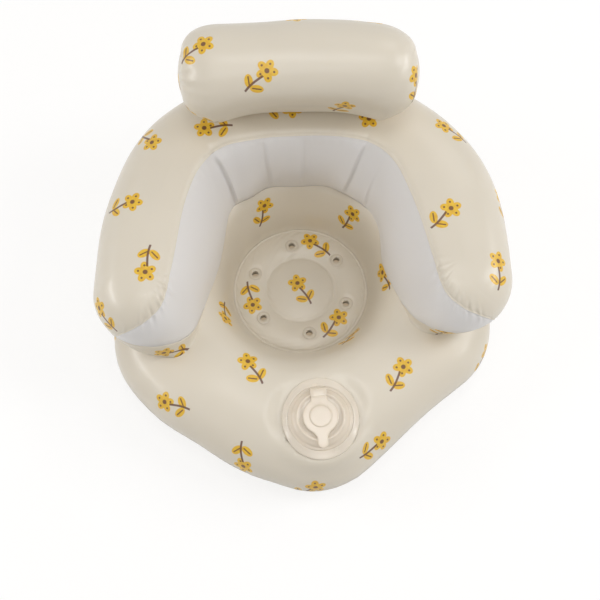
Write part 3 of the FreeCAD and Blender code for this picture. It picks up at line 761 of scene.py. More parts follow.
def make_base_underside():
    radii, rises = rolled_outlines(BOTTOM_ROUND)
    rows = 34
    profiles = []
    for i, angle in enumerate(base_angles):
        outer = uneven_flank(radii[i], angle, 150)
        path = [(r, BASE_SEAM * (1 - rise)) for r, rise in zip(outer, rises)]
        for turn in np.linspace(0, pi / 2, 8):
            path.append((WELL_RADIUS + FOOT_REACH * (1 - sin(turn)), 13 * (1 - cos(turn))))
        profiles.append(resample(soften_ends_kept(resample(np.array(path), 160), 5), rows))
    profiles = np.array(profiles)
    grid = polar(profiles[..., 0], base_angles[:, None], profiles[..., 1])
    lengths = path_lengths(grid)
    lift = outer_seam(lengths) + 0.8 * swell_noise(grid, 130, 21) * held(lengths / 30)
    grid = grid - grid_normals(grid) * lift[..., None]
    grid[..., 2] = np.maximum(grid[..., 2], 0.4)
    piece = new_piece("base_underside", grid, flipped(grid_faces(BASE_COLUMNS, rows)), plain_film)
    thicken(piece)
    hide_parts("base_lower_skin")


make_base_top()
make_base_underside()


# Arm and back ring

def ring_rolls(share):
    """How far the ring's outside and its arm ends stand back at a share of its height."""
    if share < RING_WIDEST:
        low = (RING_WIDEST - share) / RING_WIDEST
        return roll(RING_LOW_ROUND, low), roll(RING_END_ROUND, low)
    high = roll(RING_HIGH_ROUND, (share - RING_WIDEST) / (1 - RING_WIDEST))
    return high, high


def ring_outline(share):
    outside, end = ring_rolls(share)
    past = max(share - RING_SEAM, 0) / (1 - RING_SEAM)
    crest = roll(CREST_ROUND, past)
    rise = min(share / RING_SEAM, 1)
    face = WALL_FACE * (1 - past) + WALL_BULGE * 4 * rise * (1 - rise)
    front = -(RING_FRONT - end)
    half = RING_HALF_WIDTH - outside
    side = WALL_BACK_HALF + WALL_SIDE_LEAN * rise + crest - face
    back = WALL_BACK + WALL_BACK_LEAN * rise + crest - face
    front_x = side + WALL_SPLAY * (WALL_BACK - front)
    back_x = side + WALL_SPLAY * (WALL_BACK - back)
    outer_back = RING_BACK - outside
    corners = [(half, front), (half, outer_back), (-half, outer_back), (-half, front),
               (-front_x, front), (-back_x, back), (back_x, back), (front_x, front)]
    width = half - front_x
    inner_tip = width * 0.37 * tan((pi / 2 + atan(WALL_SPLAY)) / 2)
    outer_tip = width * 0.64
    bend = WALL_CORNER + WALL_CORNER_GROWTH * rise - face
    outer = RING_BACK_RADIUS - outside
    return rounded_outline(corners, [outer_tip, outer, outer, outer_tip, inner_tip, bend, bend, inner_tip])


# Columns run round the ring: its outside, the fan of the left end, its inside and the fan of the right end
SPINE_HALF = [(189, -50), (187, -20), (182, 12), (176, 45), (165, 82), (144, 118), (112, 145), (70, 160),
              (30, 165)]
SPINE_COUNT = 230
FAN_COUNT = 120
RING_COLUMNS = 2 * SPINE_COUNT + 2 * FAN_COUNT
LEFT_FAN = SPINE_COUNT
INSIDE = SPINE_COUNT + FAN_COUNT
RIGHT_FAN = 2 * SPINE_COUNT + FAN_COUNT


def ring_rays():
    """Start and direction of every column's ray."""
    points = SPINE_HALF + [(0, 166)] + [(-x, y) for x, y in SPINE_HALF[::-1]]
    spine = smooth_curve(points, SPINE_COUNT)
    ahead = unit(np.gradient(spine, axis=0))
    out = -left_of(ahead)
    fan = np.linspace(0, pi, FAN_COUNT + 2)[1:-1]
    rays = list(zip(spine, out))
    rays += [(spine[-1], out[-1] * cos(a) + ahead[-1] * sin(a)) for a in fan]
    rays += list(zip(spine, -out))[::-1]
    rays += [(spine[0], -out[0] * cos(a) - ahead[0] * sin(a)) for a in fan]
    return rays


# How far the outside of the ring is drawn in, by its angle about the middle in degrees
OUTSIDE_ANGLES = [-40, 0, 12, 25, 32, 48, 62, 80, 100, 116, 130, 148, 162, 170, 178, 195]
OUTSIDE_DRAWN = [0, 0, 2.6, 6.5, 8.8, 6.6, 1.6, -1, 0, 4, 6.2, 6.8, 6.6, 4.8, 2.6, 1.5]
# How far the wall's two back corners stand forward at their foot: height, x and width
CORNER_BELLS = [(11, -62, 20), (11, 68, 28)]


def uneven_ring(points):
    """The film draws the outside in at its back corners, and the wall bows out along the arms."""
    x, y = points[..., 0].copy(), points[..., 1].copy()
    height = held((points[..., 2] - BASE_TOP) / RING_HEIGHT)
    left = x < 0
    turn = np.degrees(np.arctan2(y, x))
    turn = np.where(turn < -120, turn + 360, turn)
    drawn = np.interp(turn, OUTSIDE_ANGLES, OUTSIDE_DRAWN)
    drawn += 9 * bell(y, 85, 85) * left * np.abs(np.cos(np.radians(turn)))
    far = np.maximum(np.hypot(x, y), 1)
    drawn *= held((far - 150) / 70) * held(0.45 + height * 2)
    drawn = soften_loop(drawn, 4)
    # The wall's columns, fading out from its seam to the crest
    rows = points.shape[1]
    inner = np.zeros(RING_COLUMNS)
    inner[INSIDE:RIGHT_FAN] = 1
    inner = soften_loop(inner, 6)[:, None] * ease((rows - 1 - np.arange(rows)) / 90)
    bow = np.where(left, -7.5 * bell(y, 36, 50) * height ** 1.3,
                   5.5 * bell(y, 18, 55) * height ** 1.3 + 6 * bell(y, 52, 34) * (1 - height))
    # The wall's back corners stand forward, and the right arm's foot is tucked under
    push = bells(x, CORNER_BELLS) * (1 - 0.65 * height) * held((y - 50) / 40) * inner
    push -= 15 * held(1 - height / RING_WIDEST) ** 1.3 * held((-y - 60) / 45) * (x > 0)
    points[..., 0] += bow * inner - drawn * x / far
    points[..., 1] -= drawn * y / far + push
    return points


def ring_profiles():
    """For each ray, fine points from the ring's foot on the base up to its crest."""
    low = RING_WIDEST * (1 - np.sin(np.linspace(pi / 2, 0, 12)))
    high = RING_WIDEST + (1 - RING_WIDEST) * np.sin(np.linspace(0, pi / 2, 20))[1:]
    shares = np.concatenate([low, high])
    outlines = [ring_outline(share) for share in shares]
    paths = []
    for start, direction in ring_rays():
        side = []
        for share, outline in zip(shares, outlines):
            place = start + direction * reach_of(outline, start, direction)
            side.append((*place, BASE_TOP + RING_HEIGHT * share))
        # The foot goes on down to the base
        foot = np.array(side[0])
        lean = (foot - side[2])[:2]
        lean *= 6 / max(norm(lean), 1)
        base = base_height_at(*(foot[:2] + lean)) - 1.5
        path = [(*(foot[:2] + lean), base), (*(foot[:2] + lean * 0.6), (foot[2] + base) / 2)] + side
        edge = np.array(side[-1])
        for share in np.linspace(0, 1, 10)[1:]:
            plan = edge[:2] + (start - edge[:2]) * share
            path.append((*plan, edge[2] + RING_CROWN * (1 - (1 - share) ** 2)))
        paths.append(soften_ends_kept(resample(np.array(path), 260), 5))
    return np.array(paths)


# Across an arm's end, the seam between wall and skin falls from the ring's top to its foot and runs on a
# little along the outside, and a lower seam parts the wall from a printed strip
SEAM_SPREAD = 26
SEAM_END_SHARE = 0.711
SEAM_TOP = BASE_TOP + RING_HEIGHT * RING_SEAM
SEAM_SHARES = [0, 0.16, 0.3, 0.38, 0.44, 0.487, 0.53, 0.57, 0.62, 1]
SEAM_HEIGHTS = [SEAM_TOP, SEAM_TOP - 2, 197, 188, 173, 148, 115, 95, 70, 0]
STRIP_SHARES = [0, 0.1, 0.2, 0.35, 0.5, 0.62, 0.74, 0.86, 1]
STRIP_HEIGHTS = [70, 104, 138, 148, 147, 140, 126, 112, 98]


def seam_heights():
    """Heights of the upper and the lower seam for every column, 0 where there is none."""
    index = np.arange(RING_COLUMNS)
    after = np.where(index < SPINE_COUNT // 2, index + RING_COLUMNS, index)
    past = np.maximum(np.maximum(INSIDE - after, after - RIGHT_FAN), 0)
    shares = np.interp(past, [0, FAN_COUNT, FAN_COUNT + SEAM_SPREAD], [0, SEAM_END_SHARE, 1])
    upper = np.interp(shares, SEAM_SHARES, SEAM_HEIGHTS)
    fans = ((index >= LEFT_FAN) & (index < INSIDE)) | (index >= RIGHT_FAN)
    lower = np.interp(1 - past / FAN_COUNT, STRIP_SHARES, STRIP_HEIGHTS)
    return soften_loop(upper, 3), np.where(fans, lower, 0)


# Folds of the inner wall: the plan point at the top, the one at the foot, how far one side stands proud and
# the other falls back, how wide each is, the side that stands proud, and how slowly the fold starts
WALL_FOLDS = [
    ((-106, 112), (-82, 98), 3.8, 2.4, 15, 6, 1, 0.3),
    ((-38, 128), (-34, 118), 1.6, 2.2, 9, 5, 1, 0.3),
    ((8, 129), (10, 118), 1.4, 2.0, 8, 5, -1, 0.3),
    ((84, 112), (66, 110), 2.4, 2.6, 9, 4, -1, 0.3),
    ((106, 92), (90, 84), 3.4, 2.6, 9, 5, -1, 3.0),
]
# The sharpest folds run on into the skin above them: the plan point, and how deep
SKIN_FOLDS = [((-106, 112), 2.0), ((84, 112), 1.2)]


def fold_lift(columns, tops, feet, distance):
    """Height of the inner wall's folds over it."""
    places = np.arange(len(columns), dtype=float)[:, None]
    share = distance / distance[:, -1:]
    spacing = norm(np.gradient(feet, axis=0), axis=1)[:, None]
    total = np.zeros(distance.shape)
    for top, foot, proud, deep, proud_width, deep_width, side, start in WALL_FOLDS:
        first = norm(tops - top, axis=1).argmin()
        second = norm(feet - foot, axis=1).argmin()
        gap = (places - (first + (second - first) * share)) * np.maximum(spacing, 1.2) * side
        rise = 1 / (1 + np.exp(-np.clip(gap / 0.5, -30, 30)))
        shape = proud * rise * np.exp(-np.abs(gap) / proud_width)
        shape -= deep * (1 - rise) * np.exp(-np.abs(gap) / deep_width)
        total += shape * held(share * 2.4 / start) ** 1.5 * np.clip((1 - share) * 8, 0.3, 1)
    return total


def place_at(path, height):
    """Fractional place on a ring profile at which it first reaches a height."""
    rising = np.maximum.accumulate(path[:, 2])
    index = min(int(np.searchsorted(rising, height)), len(rising) - 1)
    if index == 0:
        return 0.0
    step = rising[index] - rising[index - 1]
    return index - 1 + (height - rising[index - 1]) / max(step, 1e-6)


def stretch_of(path, low, high):
    """The part of a ring profile between two fractional places."""
    inner = [k for k in range(len(path)) if low < k < high]
    return read_off([low] + inner + [high], np.arange(len(path)), path)


# Rows of the ring's pieces, and how much closer together they are at the seam
SKIN_ROWS = 40
WALL_ROWS = 34
STRIP_ROWS = 8
ROW_POWER = 1.35
# Puckers of the seam are strongest at the arm ends: height, column and how many columns wide
END_PUCKERS = [(1.5, LEFT_FAN + FAN_COUNT * 0.62, 34), (1.5, RIGHT_FAN + FAN_COUNT * 0.38, 34)]


def ring_relief(around, distance, columns):
    """Relief of the seam between skin and wall at a distance from it."""
    puckers = 0.3 + bells(np.arange(RING_COLUMNS), END_PUCKERS)
    return seam_relief(distance, around[columns, None], puckers[columns, None], 9, 17, 9)


def make_ring_skin(full, cuts, seam):
    """The printed skin, from profiles with their normals, from the seam up to the crest."""
    last = full.shape[1] - 1
    skin = np.array([resample(stretch_of(path, upper, last), SKIN_ROWS, ROW_POWER)
                     for path, (upper, _) in zip(full, cuts)])
    distance, around = path_lengths(skin), path_lengths(seam)
    # The crest's line is shared by both sides, so nothing moves there
    lift = ring_relief(around, distance, slice(None)) * held((distance[:, -1:] - distance) / 12)
    lift += 1.3 * swell_noise(skin[..., :3], 140, 31) * held(distance / 40)
    for top, depth in SKIN_FOLDS:
        column = norm(seam[:, :2] - top, axis=1).argmin()
        lift -= depth * bell(around[:, None], around[column], 3.6) * bell(distance, 0, 12)
    points = seat_for_valve(skin[..., :3] + skin[..., 3:] * lift[..., None])
    join_crest(points)
    piece = new_piece("ring_skin", points, grid_faces(RING_COLUMNS, SKIN_ROWS), printed_film)
    close_crest(piece)
    valve = Vector(VALVE_PLACE * MM)
    drop_faces(piece, lambda p: p.y > 0.2 and hypot(p.x - valve.x, p.z - valve.z) < VALVE_OPENING * MM)

    def beside_seam(place):
        near_valve = norm(place - VALVE_PLACE) < VALVE_CLEAR
        return near_valve or norm(seam - place, axis=1).min() < SEAM_CLEAR

    add_print(piece, 23, avoid=beside_seam)
    thicken(piece)
    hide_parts("arm_ring_outer_skin")


def make_ring_wall(full, cuts, seam):
    """The white wall between the two seams, round the inside and the arm ends."""
    walled = [upper - lower > 6 for upper, lower in cuts]
    first = next(i for i in range(RING_COLUMNS // 4, RING_COLUMNS) if walled[i] and not walled[i - 1])
    columns = [i % RING_COLUMNS for i in range(first, first + RING_COLUMNS) if walled[i % RING_COLUMNS]]
    wall = np.array([resample(stretch_of(full[i], *cuts[i][::-1])[::-1], WALL_ROWS, ROW_POWER)
                     for i in columns])
    distance = path_lengths(wall)
    below = distance[:, -1:] - distance
    strip_here = np.array([cuts[i][1] > 4 for i in columns])[:, None]
    lift = ring_relief(path_lengths(seam), distance, columns) - 0.7 * bell(below, 2, 2) * strip_here
    lift += swell_noise(wall[..., :3], 110, 37) * held(distance / 30)
    lift += fold_lift(columns, wall[:, 0, :2], wall[:, -1, :2], distance)
    lift *= held(below / 3)
    points = wall[..., :3] + wall[..., 3:] * lift[..., None]
    piece = new_piece("ring_wall", points, flipped(grid_faces(len(columns), WALL_ROWS, False)), white_film)
    thicken(piece)
    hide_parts("arm_ring_inner_wall")


def make_arm_strips(paths, cuts):
    """The printed strips below the wall at both arm ends."""
    for name, low in (("left_arm_strip", LEFT_FAN), ("right_arm_strip", RIGHT_FAN)):
        columns = [i for i in range(low, low + FAN_COUNT) if cuts[i][1] > 4]
        points = [resample(stretch_of(paths[i], 0, cuts[i][1])[::-1], STRIP_ROWS) for i in columns]
        faces = flipped(grid_faces(len(columns), STRIP_ROWS, False))
        piece = new_piece(name, points, faces, printed_film)
        add_print(piece, 29 + low)
        thicken(piece)


def join_crest(points):
    """Brings the last points of facing columns together on the crest's line."""
    outer = np.arange(SPINE_COUNT)
    inner = INSIDE + SPINE_COUNT - 1 - outer
    middle = (points[outer, -1] + points[inner, -1]) / 2
    points[outer, -1] = middle
    points[inner, -1] = middle
    points[LEFT_FAN:INSIDE, -1] = middle[-1]
    points[RIGHT_FAN:, -1] = middle[0]


def close_crest(piece):
    """Joins the two sides along the crest's line, where their last rows meet."""
    with edited(piece) as work:
        bmesh.ops.remove_doubles(work, verts=work.verts, dist=0.0002)
        for face in work.faces:
            face.smooth = True


def seat_for_valve(points):
    """Presses the skin in behind the valve's flange."""
    gap = np.hypot(points[..., 0] - VALVE_PLACE[0], points[..., 2] - VALVE_PLACE[2])
    blend = ease((30 - gap) / 14) * (points[..., 1] > 200)
    points[..., 1] = points[..., 1] * (1 - blend) + (VALVE_PLACE[1] - 0.5) * blend
    return points


def make_ring():
    paths = uneven_ring(soften_loop(ring_profiles(), 2.2))
    normals = grid_normals(paths)
    normals[:, -1] = (0, 0, 1)  # Both sides of the crest's line share it
    full = np.concatenate([paths, normals], axis=2)
    # Fractional places at which every profile crosses the upper and the lower seam
    cuts = []
    for path, upper, lower in zip(paths, *seam_heights()):
        begin = place_at(path, upper)
        cuts.append((begin, min(place_at(path, lower), begin)))
    last = paths.shape[1] - 1
    seam = np.array([stretch_of(path, upper, last)[0] for path, (upper, _) in zip(paths, cuts)])
    make_ring_skin(full, cuts, seam)
    make_ring_wall(full, cuts, seam)
    make_arm_strips(paths, cuts)


make_ring()


# Headrest

def place_headrest(points):
    """Draws the headrest, given about its own middle, in at its lower front and puts it in its place."""
    placed = draw_in(points) @ spun(HEADREST_YAW).T + HEADREST_CENTRE
    # It is flat where it is welded to the ring's crest
    placed[..., 2] = np.maximum(placed[..., 2], BASE_TOP + RING_HEIGHT + 1.0)
    return placed


def draw_in(points):
    """Draws the lower front in, most at its middle, and rounds the upper right end off."""
    x, y, z = (points[..., k] for k in range(3))
    facing = np.arctan2(z, y)
    reach = 21 * held(1 - (x / 104) ** 2) * held(np.cos(facing - radians(202))) ** 3
    away = 1.3 * held(np.abs(x - 22) / 60) ** 2 + 9 * held((x - 50) / 88) ** 2
    away = away * held(np.cos(facing - radians(22))) ** 2
    shrink = 1 - reach / np.maximum(np.hypot(y, z), 1) - away / HEADREST_RADIUS
    narrow = 1 - 0.1 * held((-2 - z) / 40)
    return points * np.stack([narrow, shrink, shrink], axis=-1)


def make_headrest():
    columns, rows, fine = 180, 84, 300
    half = []
    for angle in np.linspace(0, pi / 2, 18):
        half.append((HEADREST_END - HEADREST_END_ROUND * (1 - cos(angle)),
                     HEADREST_END_RADIUS + (HEADREST_RADIUS - 2.2 - HEADREST_END_RADIUS) * sin(angle)))
    half.append((0, HEADREST_RADIUS + 1.0))
    profile = soften_ends_kept(resample(np.array(half + [(-x, r) for x, r in half[-2::-1]]), fine), 4)
    # More rows near both ends, where the film puckers
    lengths = path_lengths(profile)
    from_right = (1 - np.cos(np.linspace(0, pi, rows))) / 2 * lengths[-1]
    from_left = lengths[-1] - from_right
    along, reach = read_off(from_right, lengths, profile).T
    angles = circle(columns)[:, None]
    grid = polar(reach, angles, along)[..., [2, 0, 1]]
    lift = seam_relief(from_right, angles * 45, 1.2, 15, 41, 20)
    lift += seam_relief(from_left, angles * 45, 1.6, 16, 43, 22)
    lift += 1.2 * swell_noise(grid, 120, 47) * held(np.minimum(from_left, from_right) / 30)
    grid[..., 1:] *= (1 + lift / np.maximum(np.hypot(grid[..., 1], grid[..., 2]), 1))[..., None]
    piece = new_piece("headrest_pillow", place_headrest(grid), grid_faces(columns, rows), printed_film)
    add_print(piece, 53)
    thicken(piece)
    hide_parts("headrest_tube")
    make_end_panel("headrest_left_panel", "headrest_left_end", -1, grid[:, -1], angles[:, 0])
    make_end_panel("headrest_right_panel", "headrest_right_end", 1, grid[:, 0], angles[:, 0])


def make_end_panel(name, node, sign, rim, angles):
    """Round end panel that swells out from the rim that it shares with the tube."""
    rings = []
    for share in np.linspace(0, 1, 12)[:-1]:
        ring = rim * (1 - share)
        out = 1 - (1 - share) ** 2
        waves = 0.7 * ripples(angles * 45, 12, 59) * exp(-share * 7) * min(share * 9, 1)
        ring[:, 0] = rim[:, 0] + sign * (HEADREST_END_SWELL * out + waves)
        rings.append(ring)
    points, faces = tipped(np.stack(rings, axis=1), (sign * (HEADREST_END + HEADREST_END_SWELL), 0, 0))
    piece = new_piece(name, place_headrest(points), faces if sign > 0 else flipped(faces), printed_film)
    add_print(piece, 61 + sign)
    thicken(piece)
    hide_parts(node)


make_headrest()


# Seat floor and eyelets

def floor_height(radius, angle, side):
    """Height of a floor sheet: a swollen ring and a swollen middle between the welds."""
    ring = held((radius - INNER_WELD - 1.2) / (WELL_RADIUS - INNER_WELD - 3.8))
    swell = np.where(radius > INNER_WELD, 4.3 * np.sin(pi * ring) ** 0.75 - 1.0 * (radius > 87.4),
                     4.8 * held(1 - (radius / (INNER_WELD - 1.2)) ** 2) ** 0.6)
    waves = ripples(angle * radius, 17, 71)
    near_rim = np.exp(-np.abs(radius - WELL_RADIUS) / 9) * held((WELL_RADIUS - radius) / 3)
    near_inner = np.exp(-np.abs(radius - INNER_WELD) / 6) * held(np.abs(radius - INNER_WELD) / 2)
    for place in EYELET_ANGLES:
        gap = np.hypot(radius * np.cos(angle) - EYELET_CIRCLE * cos(place),
                       radius * np.sin(angle) - EYELET_CIRCLE * sin(place))
        blend = held((14 - gap) / 5)
        swell = swell * (1 - blend) + 3.3 * blend
        waves = waves * (1 - blend)
    swell = swell + waves * (0.8 * near_rim + 0.35 * near_inner)
    return FLOOR_WELD + side * (1.0 + np.maximum(swell, -0.9))


# One motif in the middle of the floor, and three between the eyelets that run round it
FLOOR_SPOTS = [(np.array([2.0, -3.0, 20.0]), radians(205))]
for angle in (radians(68), radians(188), radians(308)):
    FLOOR_SPOTS.append((polar(68, angle, 20.0), angle + pi))


def make_floor(name, node, side, material):
    stretches = [(WELL_RADIUS + 0.4, WELL_RADIUS - 6, 8), (WELL_RADIUS - 8, INNER_WELD + 4, 22),
                 (INNER_WELD + 3, INNER_WELD - 4, 9), (INNER_WELD - 6, 2, 20)]
    radii = np.concatenate([np.linspace(*stretch) for stretch in stretches])
    radius, angle = np.meshgrid(radii, circle(240))
    grid = polar(radius, angle, floor_height(radius, angle, side))
    points, faces = tipped(grid, (0, 0, FLOOR_WELD + side * 5.8))
    piece = new_piece(name, points, faces if side > 0 else flipped(faces), material)
    if side > 0:
        add_print(piece, 83, FLOOR_SPOTS)
    for place in EYELET_ANGLES:
        open_hole(piece, Vector(polar(EYELET_CIRCLE, place, 0) * MM), EYELET_HOLE * MM)
    thicken(piece)
    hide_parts(node)


make_floor("seat_floor_top", "seat_floor_upper_sheet", 1, printed_film)
make_floor("seat_floor_bottom", "seat_floor_lower_sheet", -1, plain_film)


def turned(profile, columns):
    """Points and faces of a closed profile of radii and heights turned about an upright axis."""
    radii, heights = np.array(profile, float).T
    points = polar(radii, circle(columns)[:, None], heights).reshape(-1, 3)
    return points, grid_faces(columns, len(radii), looped=True)


def make_eyelets():
    """Round weld rings, each with a throat that joins both sheets."""
    rim = [(6.6 + 2.4 * cos(angle), 0.42 * sin(angle)) for angle in circle(20)]
    throat = [(4.3, -10.2), (4.9, -10.2), (4.9, 0.1), (4.3, 0.1)]
    all_points, all_faces = [], []
    for place in EYELET_ANGLES:
        for profile in (rim, throat):
            points, faces = turned(profile, 48)
            start = len(all_points)
            all_points += list(points + polar(EYELET_CIRCLE, place, FLOOR_WELD + 4.9))
            all_faces += [tuple(start + k for k in face) for face in faces]
    piece = new_piece("eyelet_rings", all_points, all_faces, eyelet_film)
    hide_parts("drain_eyelets")


make_eyelets()


# Pump, drawn in its own axes

def pump_piece(name, points, faces, material, body, node):
    piece = new_piece(name, from_pump(points), faces, material, body)
    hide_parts(node)
    return piece


def make_pump_collar():
    """Flange, an oval ring that droops at its sides and hides the cup's rim."""
    inner = [(39.55, -0.3), (39.55, 2.35), (39.8, 2.6), (40.8, 2.6), (41.8, 2.25), (43.0, 1.9)]
    outer = [(-3.2, 1.6), (-1.6, 1.4), (-0.6, 1.0), (-0.1, 0.5), (0, -0.1), (-1.0, -0.6)]
    angles = circle(160)
    edge = 1 / np.sqrt((np.cos(angles) / FLANGE_HALF_WIDTH) ** 2 + (np.sin(angles) / FLANGE_HALF_LENGTH) ** 2)
    rows = inner + [(edge + step, height) for step, height in outer] + [(42.9, -0.5)]
    grid = np.stack([polar(radius, angles, height) for radius, height in rows], axis=1)
    grid[..., 2] -= flange_droop(grid[..., 0], grid[..., 1])
    faces = flipped(grid_faces(len(angles), len(rows), looped=True))
    pump_piece("pump_collar", grid, faces, clear_film, ROOT, "pump_flange")


def make_pump_dome():
    """Pressed dome: a rolled brim, a step, a round rim and the seat of the flap."""
    outside = [(39.45, -8), (39.45, 2.3), (39.2, 2.6), (38.2, 2.8), (37.0, 3.0), (36.2, 3.3), (35.6, 4.0),
               (35.0, 5.0), (34.4, 5.9), (33.6, 6.6), (32.4, 7.4), (31.2, 8.2), (30.5, 8.9), (29.9, 9.7),
               (29.3, 10.2), (28.6, 10.4), (27.9, 10.4), (27.1, 10.1), (26.3, 9.65), (25.6, 9.25),
               (25.0, 9.1), (17, 9.1), (12.4, 9.1), (11.8, 9.5), (9.4, 9.65), (8.8, 9.5), (8.6, 9.2)]
    inside = [(8.6, 8.7), (28.6, 8.7), (30.0, 8.0), (31.4, 5.8), (32.8, 3.3), (34.2, 1.6), (37.6, 1.0),
              (37.6, -8)]
    points, faces = turned(outside + inside, 144)
    pump_piece("pump_bellows", points, flipped(faces), pump_plastic, "pump_dome", "pump_dome")


def make_pump_foam():
    """Return foam, a ring that the pressed dome squashes."""
    low, high = -24.4, 8.5
    heights = np.linspace(low + 0.8, high - 0.8, 14)
    profile = [(28.2, low)] + [(29, height) for height in heights] + [(28.2, high)]
    profile += [(13.8, high)] + [(13, height) for height in heights[::-1]] + [(13.8, low)]
    points, faces = turned(profile, 96)
    piece = pump_piece("pump_foam", points, flipped(faces), foam, None, "pump_return_foam")
    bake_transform(piece)


def flap_outline(count):
    """Even points round the flap, its neck and its pull tab."""
    neck = np.array([(-10, -5), (10, -5), (10, 25.2), (-10, 25.2)], float)
    tip = [(6.5 * cos(a), -32.3 + 6.5 * sin(a)) for a in np.linspace(0, -pi, 14)]
    tab = [(12.8, 2), (12.8, -15.3), (6.6, -25)] + tip + [(-6.6, -25), (-12.8, -15.3), (-12.8, 2)]
    tab = np.array(tab, float)
    points = []
    for angle in circle(720):
        way = np.array([cos(angle), sin(angle)])
        reach = max(21.8, reach_of(neck, np.zeros(2), way), reach_of(tab, np.zeros(2), way))
        points.append(way * reach)
    even = resample(np.array(points + points[:1]), count + 1)[:-1]
    return soften_loop(even, 1.3)


def make_pump_lid():
    """Flap with rounded edges, a raised disc and the plug below it."""
    columns = 240
    outline = flap_outline(columns)
    inward = left_of(unit(np.roll(outline, -1, axis=0) - np.roll(outline, 1, axis=0)))
    way = unit(outline)
    edge = outline + inward * 0.9
    low, high = 4.5, 13.9
    plug = [(2, low), (6.3, low), (6.6, 4.9), (8.2, 10.3), (8.6, 10.5)]
    rim = [(0.5, 10.5), (0.1, 10.75), (0, 11.3), (0, 11.9), (0.3, 12.45), (0.9, 12.72)]
    disc = [(14.2, 12.78), (13.6, 12.85), (13.2, 13.2), (12.8, 13.65), (12.1, 13.85), (11, high), (6, high),
            (1.5, high)]
    rows = [(way * radius, height) for radius, height in plug]
    rows += [(outline + inward * inset, height) for inset, height in rim]
    rows += [(edge * (1 - share) + way * 14.2 * share, 12.78) for share in (0.2, 0.6)]
    rows += [(way * radius, height) for radius, height in disc]
    grid = np.stack([np.insert(plan, 2, height, axis=1) for plan, height in rows], axis=1)
    points = np.concatenate([grid.reshape(-1, 3), [(0, 0, low), (0, 0, high)]])
    count = len(rows)
    faces = grid_faces(columns, count) + flipped(cap_faces(columns, count, 0, len(points) - 2))
    faces += cap_faces(columns, count, count - 1, len(points) - 1)
    pump_piece("pump_lid", points, faces, pump_plastic, "pump_flap", "pump_flap")


def make_pump_strap():
    """Strap that bends beside the flap's neck and goes down over the step to the brim."""
    path = np.array([(24.5, 12.2), (25.0, 12.25), (25.6, 12.35), (26.2, 12.4), (26.8, 12.4), (27.4, 12.4),
                     (28.0, 12.4), (28.6, 12.4), (29.6, 12.4), (31.2, 12.4), (32.8, 12.2), (34.2, 11.6),
                     (35.3, 10.4), (36.1, 8.7), (36.8, 6.8), (37.3, 5.2), (37.7, 4.3), (37.9, 3.6)])
    normal = left_of(unit(np.gradient(path, axis=0)))
    section = [(-9.9, -0.7), (-9.7, -0.2), (-9.2, 0), (-4.5, 0), (0, 0), (4.5, 0), (9.2, 0), (9.7, -0.2),
               (9.9, -0.7), (9.7, -1.2), (9.2, -1.4), (0, -1.4), (-9.2, -1.4), (-9.7, -1.2)]
    points = np.array([np.insert(path + normal * depth, 0, side, axis=1) for side, depth in section])
    rows, columns = len(path), len(section)
    faces = flipped(grid_faces(columns, rows))
    faces.append(tuple(i * rows for i in range(columns)))
    faces.append(tuple(i * rows + rows - 1 for i in range(columns))[::-1])
    piece = pump_piece("pump_lid_strap", points, faces, pump_plastic, None, "pump_flap_strap")
    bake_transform(piece)


make_pump_collar()
make_pump_dome()
make_pump_foam()
make_pump_lid()
make_pump_strap()

# Solids that are carried over
CARRIED = {
    "pump_cup": pump_plastic, "pump_outlet_flap": clear_film, "valve_flange": clear_film,
    "valve_plug": clear_film, "valve_plug_strap": clear_film, "valve_check_flap": clear_film,
}
for node, material in CARRIED.items():
    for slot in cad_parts[node].material_slots:
        slot.material = material


# Floor, light and camera

# Under the seat, within this reach of its middle, the stage is painted a brown shade that shows through the
# drain holes
PAINTED_SHADE_REACH = 0.14


def seen_as_background(tree):
    """1 for rays that show the background: the camera's, and those mirrored or let through."""
    rays = add_node(tree, "LightPath").outputs
    seen = Wire(tree, rays["Is Camera Ray"])
    for name in ("Is Glossy Ray", "Is Transmission Ray"):
        seen = seen.math("MAXIMUM", Wire(tree, rays[name]))
    return seen


def make_stage():
    """The camera sees a nearly white floor that still takes a faint shadow, and, through the drain holes, a
    painted brown shade under the seat.
    """
    material, tree, shader, output = new_material("stage")
    grey = mix(tree, noise(tree, 2, 2).ranged(0, 1), (0.80, 0.80, 0.80, 1), (0.82, 0.82, 0.82, 1))
    set_inputs(tree, shader, {"Base Color": grey, "Roughness": 0.9})
    x, y = flat_wires(tree, coordinates(tree))
    under = (x * x + y * y).below(PAINTED_SHADE_REACH ** 2, 0.002)
    # Under the seat the glow is a painted brown shade in place of the near white
    glow_and_painted_shade = mix(tree, under, (0.72, 0.72, 0.72, 1), (0.34, 0.26, 0.17, 1))
    glow = add_node(tree, "Emission", {"Strength": 1.0, "Color": glow_and_painted_shade})
    faint = add_node(tree, "BsdfDiffuse", {"Color": (0.3, 0.3, 0.3, 1)})
    total = add_node(tree, "AddShader", {0: faint.outputs[0], 1: glow.outputs[0]})
    either = add_node(tree, "MixShader", {0: seen_as_background(tree), 1: shader.outputs[0],
                                          2: total.outputs[0]})
    set_inputs(tree, output, {0: either.outputs[0]})
    mesh = bpy.data.meshes.new("stage_floor")
    mesh.from_pydata([(-4, -4, 0), (4, -4, 0), (4, 4, 0), (-4, 4, 0)], [], [(0, 1, 2, 3)])
    mesh.materials.append(material)
    floor = bpy.data.objects.new("stage_floor", mesh)
    bpy.context.collection.objects.link(floor)


def make_world():
    """White to the eye, and a slightly warm light."""
    world = bpy.data.worlds.new("studio")
    world.use_nodes = True
    bpy.context.scene.world = world
    tree = world.node_tree
    seen = seen_as_background(tree)
    set_inputs(tree, tree.nodes["Background"], {
        "Color": mix(tree, seen, (1.0, 0.95, 0.88, 1), (1.0, 1.0, 1.0, 1)), "Strength": seen * 0.58 + 0.42,
    })


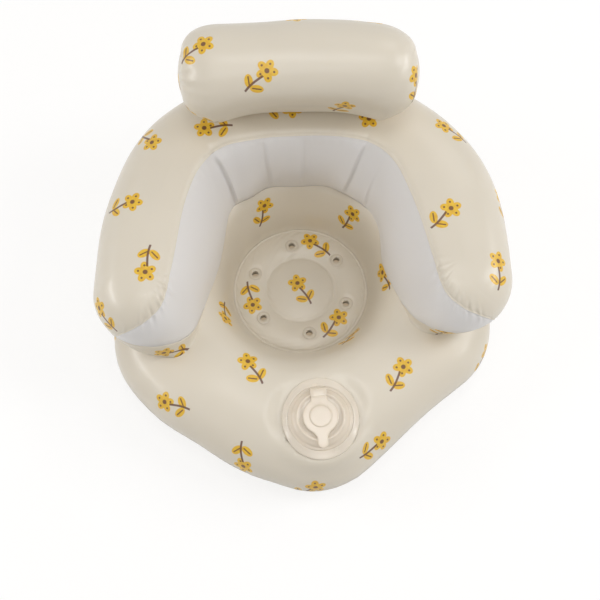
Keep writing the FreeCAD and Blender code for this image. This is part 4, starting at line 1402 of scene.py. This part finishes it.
def place_facing(item, place, target=Vector((0, 0, 0))):
    """Puts a lamp or a camera at a place, and turns it towards its target."""
    thing = bpy.data.objects.new(item.name, item)
    thing.location = place
    thing.rotation_mode = "QUATERNION"
    thing.rotation_quaternion = (target - Vector(place)).to_track_quat("-Z", "Y")
    bpy.context.collection.objects.link(thing)
    return thing


# Name, place, size and power of each lamp, and its length where it is long sideways
LAMPS = [
    ("overhead", (0.1, -0.1, 3.6), 1.4, 17), ("front", (-0.1, -1.5, 3.0), 1.4, 8),
    ("window", (2.2, 0.0, 2.4), 1.0, 12), ("key", (0.8, 1.2, 1.6), 0.7, 2),
    ("left_side", (-1.8, 0.0, 1.1), 0.2, 11, 1.3), ("right_side", (1.8, 0.0, 1.1), 0.2, 10, 1.3),
]


def make_lamp(name, place, size, power, length=0):
    """Round lamp, or one that is long sideways."""
    light = bpy.data.lights.new(name, "AREA")
    light.shape = "RECTANGLE" if length else "DISK"
    light.size = length or size
    light.size_y = size
    light.energy = power
    place_facing(light, place)


# The camera's focal length and shift in pixels of the photograph, and where it stands
IMAGE_PIXELS = 600
FOCAL_PIXELS = 1035
SHIFT_PIXELS = (-0.4, -11.6)
CAMERA_ELEVATION = radians(67.5)
CAMERA_AZIMUTH = radians(2.6)
CAMERA_TARGET = Vector((0, 0, 0.02))
CAMERA_DISTANCE = 1.4


def make_camera():
    data = bpy.data.cameras.new("camera")
    data.sensor_width = 36
    data.lens = 36 * FOCAL_PIXELS / IMAGE_PIXELS
    data.shift_x, data.shift_y = (pixels / IMAGE_PIXELS for pixels in SHIFT_PIXELS)
    level = cos(CAMERA_ELEVATION)
    back = Vector((-sin(CAMERA_AZIMUTH) * level, -cos(CAMERA_AZIMUTH) * level,
                   sin(CAMERA_ELEVATION)))
    bpy.context.scene.camera = place_facing(data, CAMERA_TARGET + back * CAMERA_DISTANCE, CAMERA_TARGET)


make_stage()
make_world()
for lamp in LAMPS:
    make_lamp(*lamp)
make_camera()
bpy.context.scene.view_settings.view_transform = "Standard"
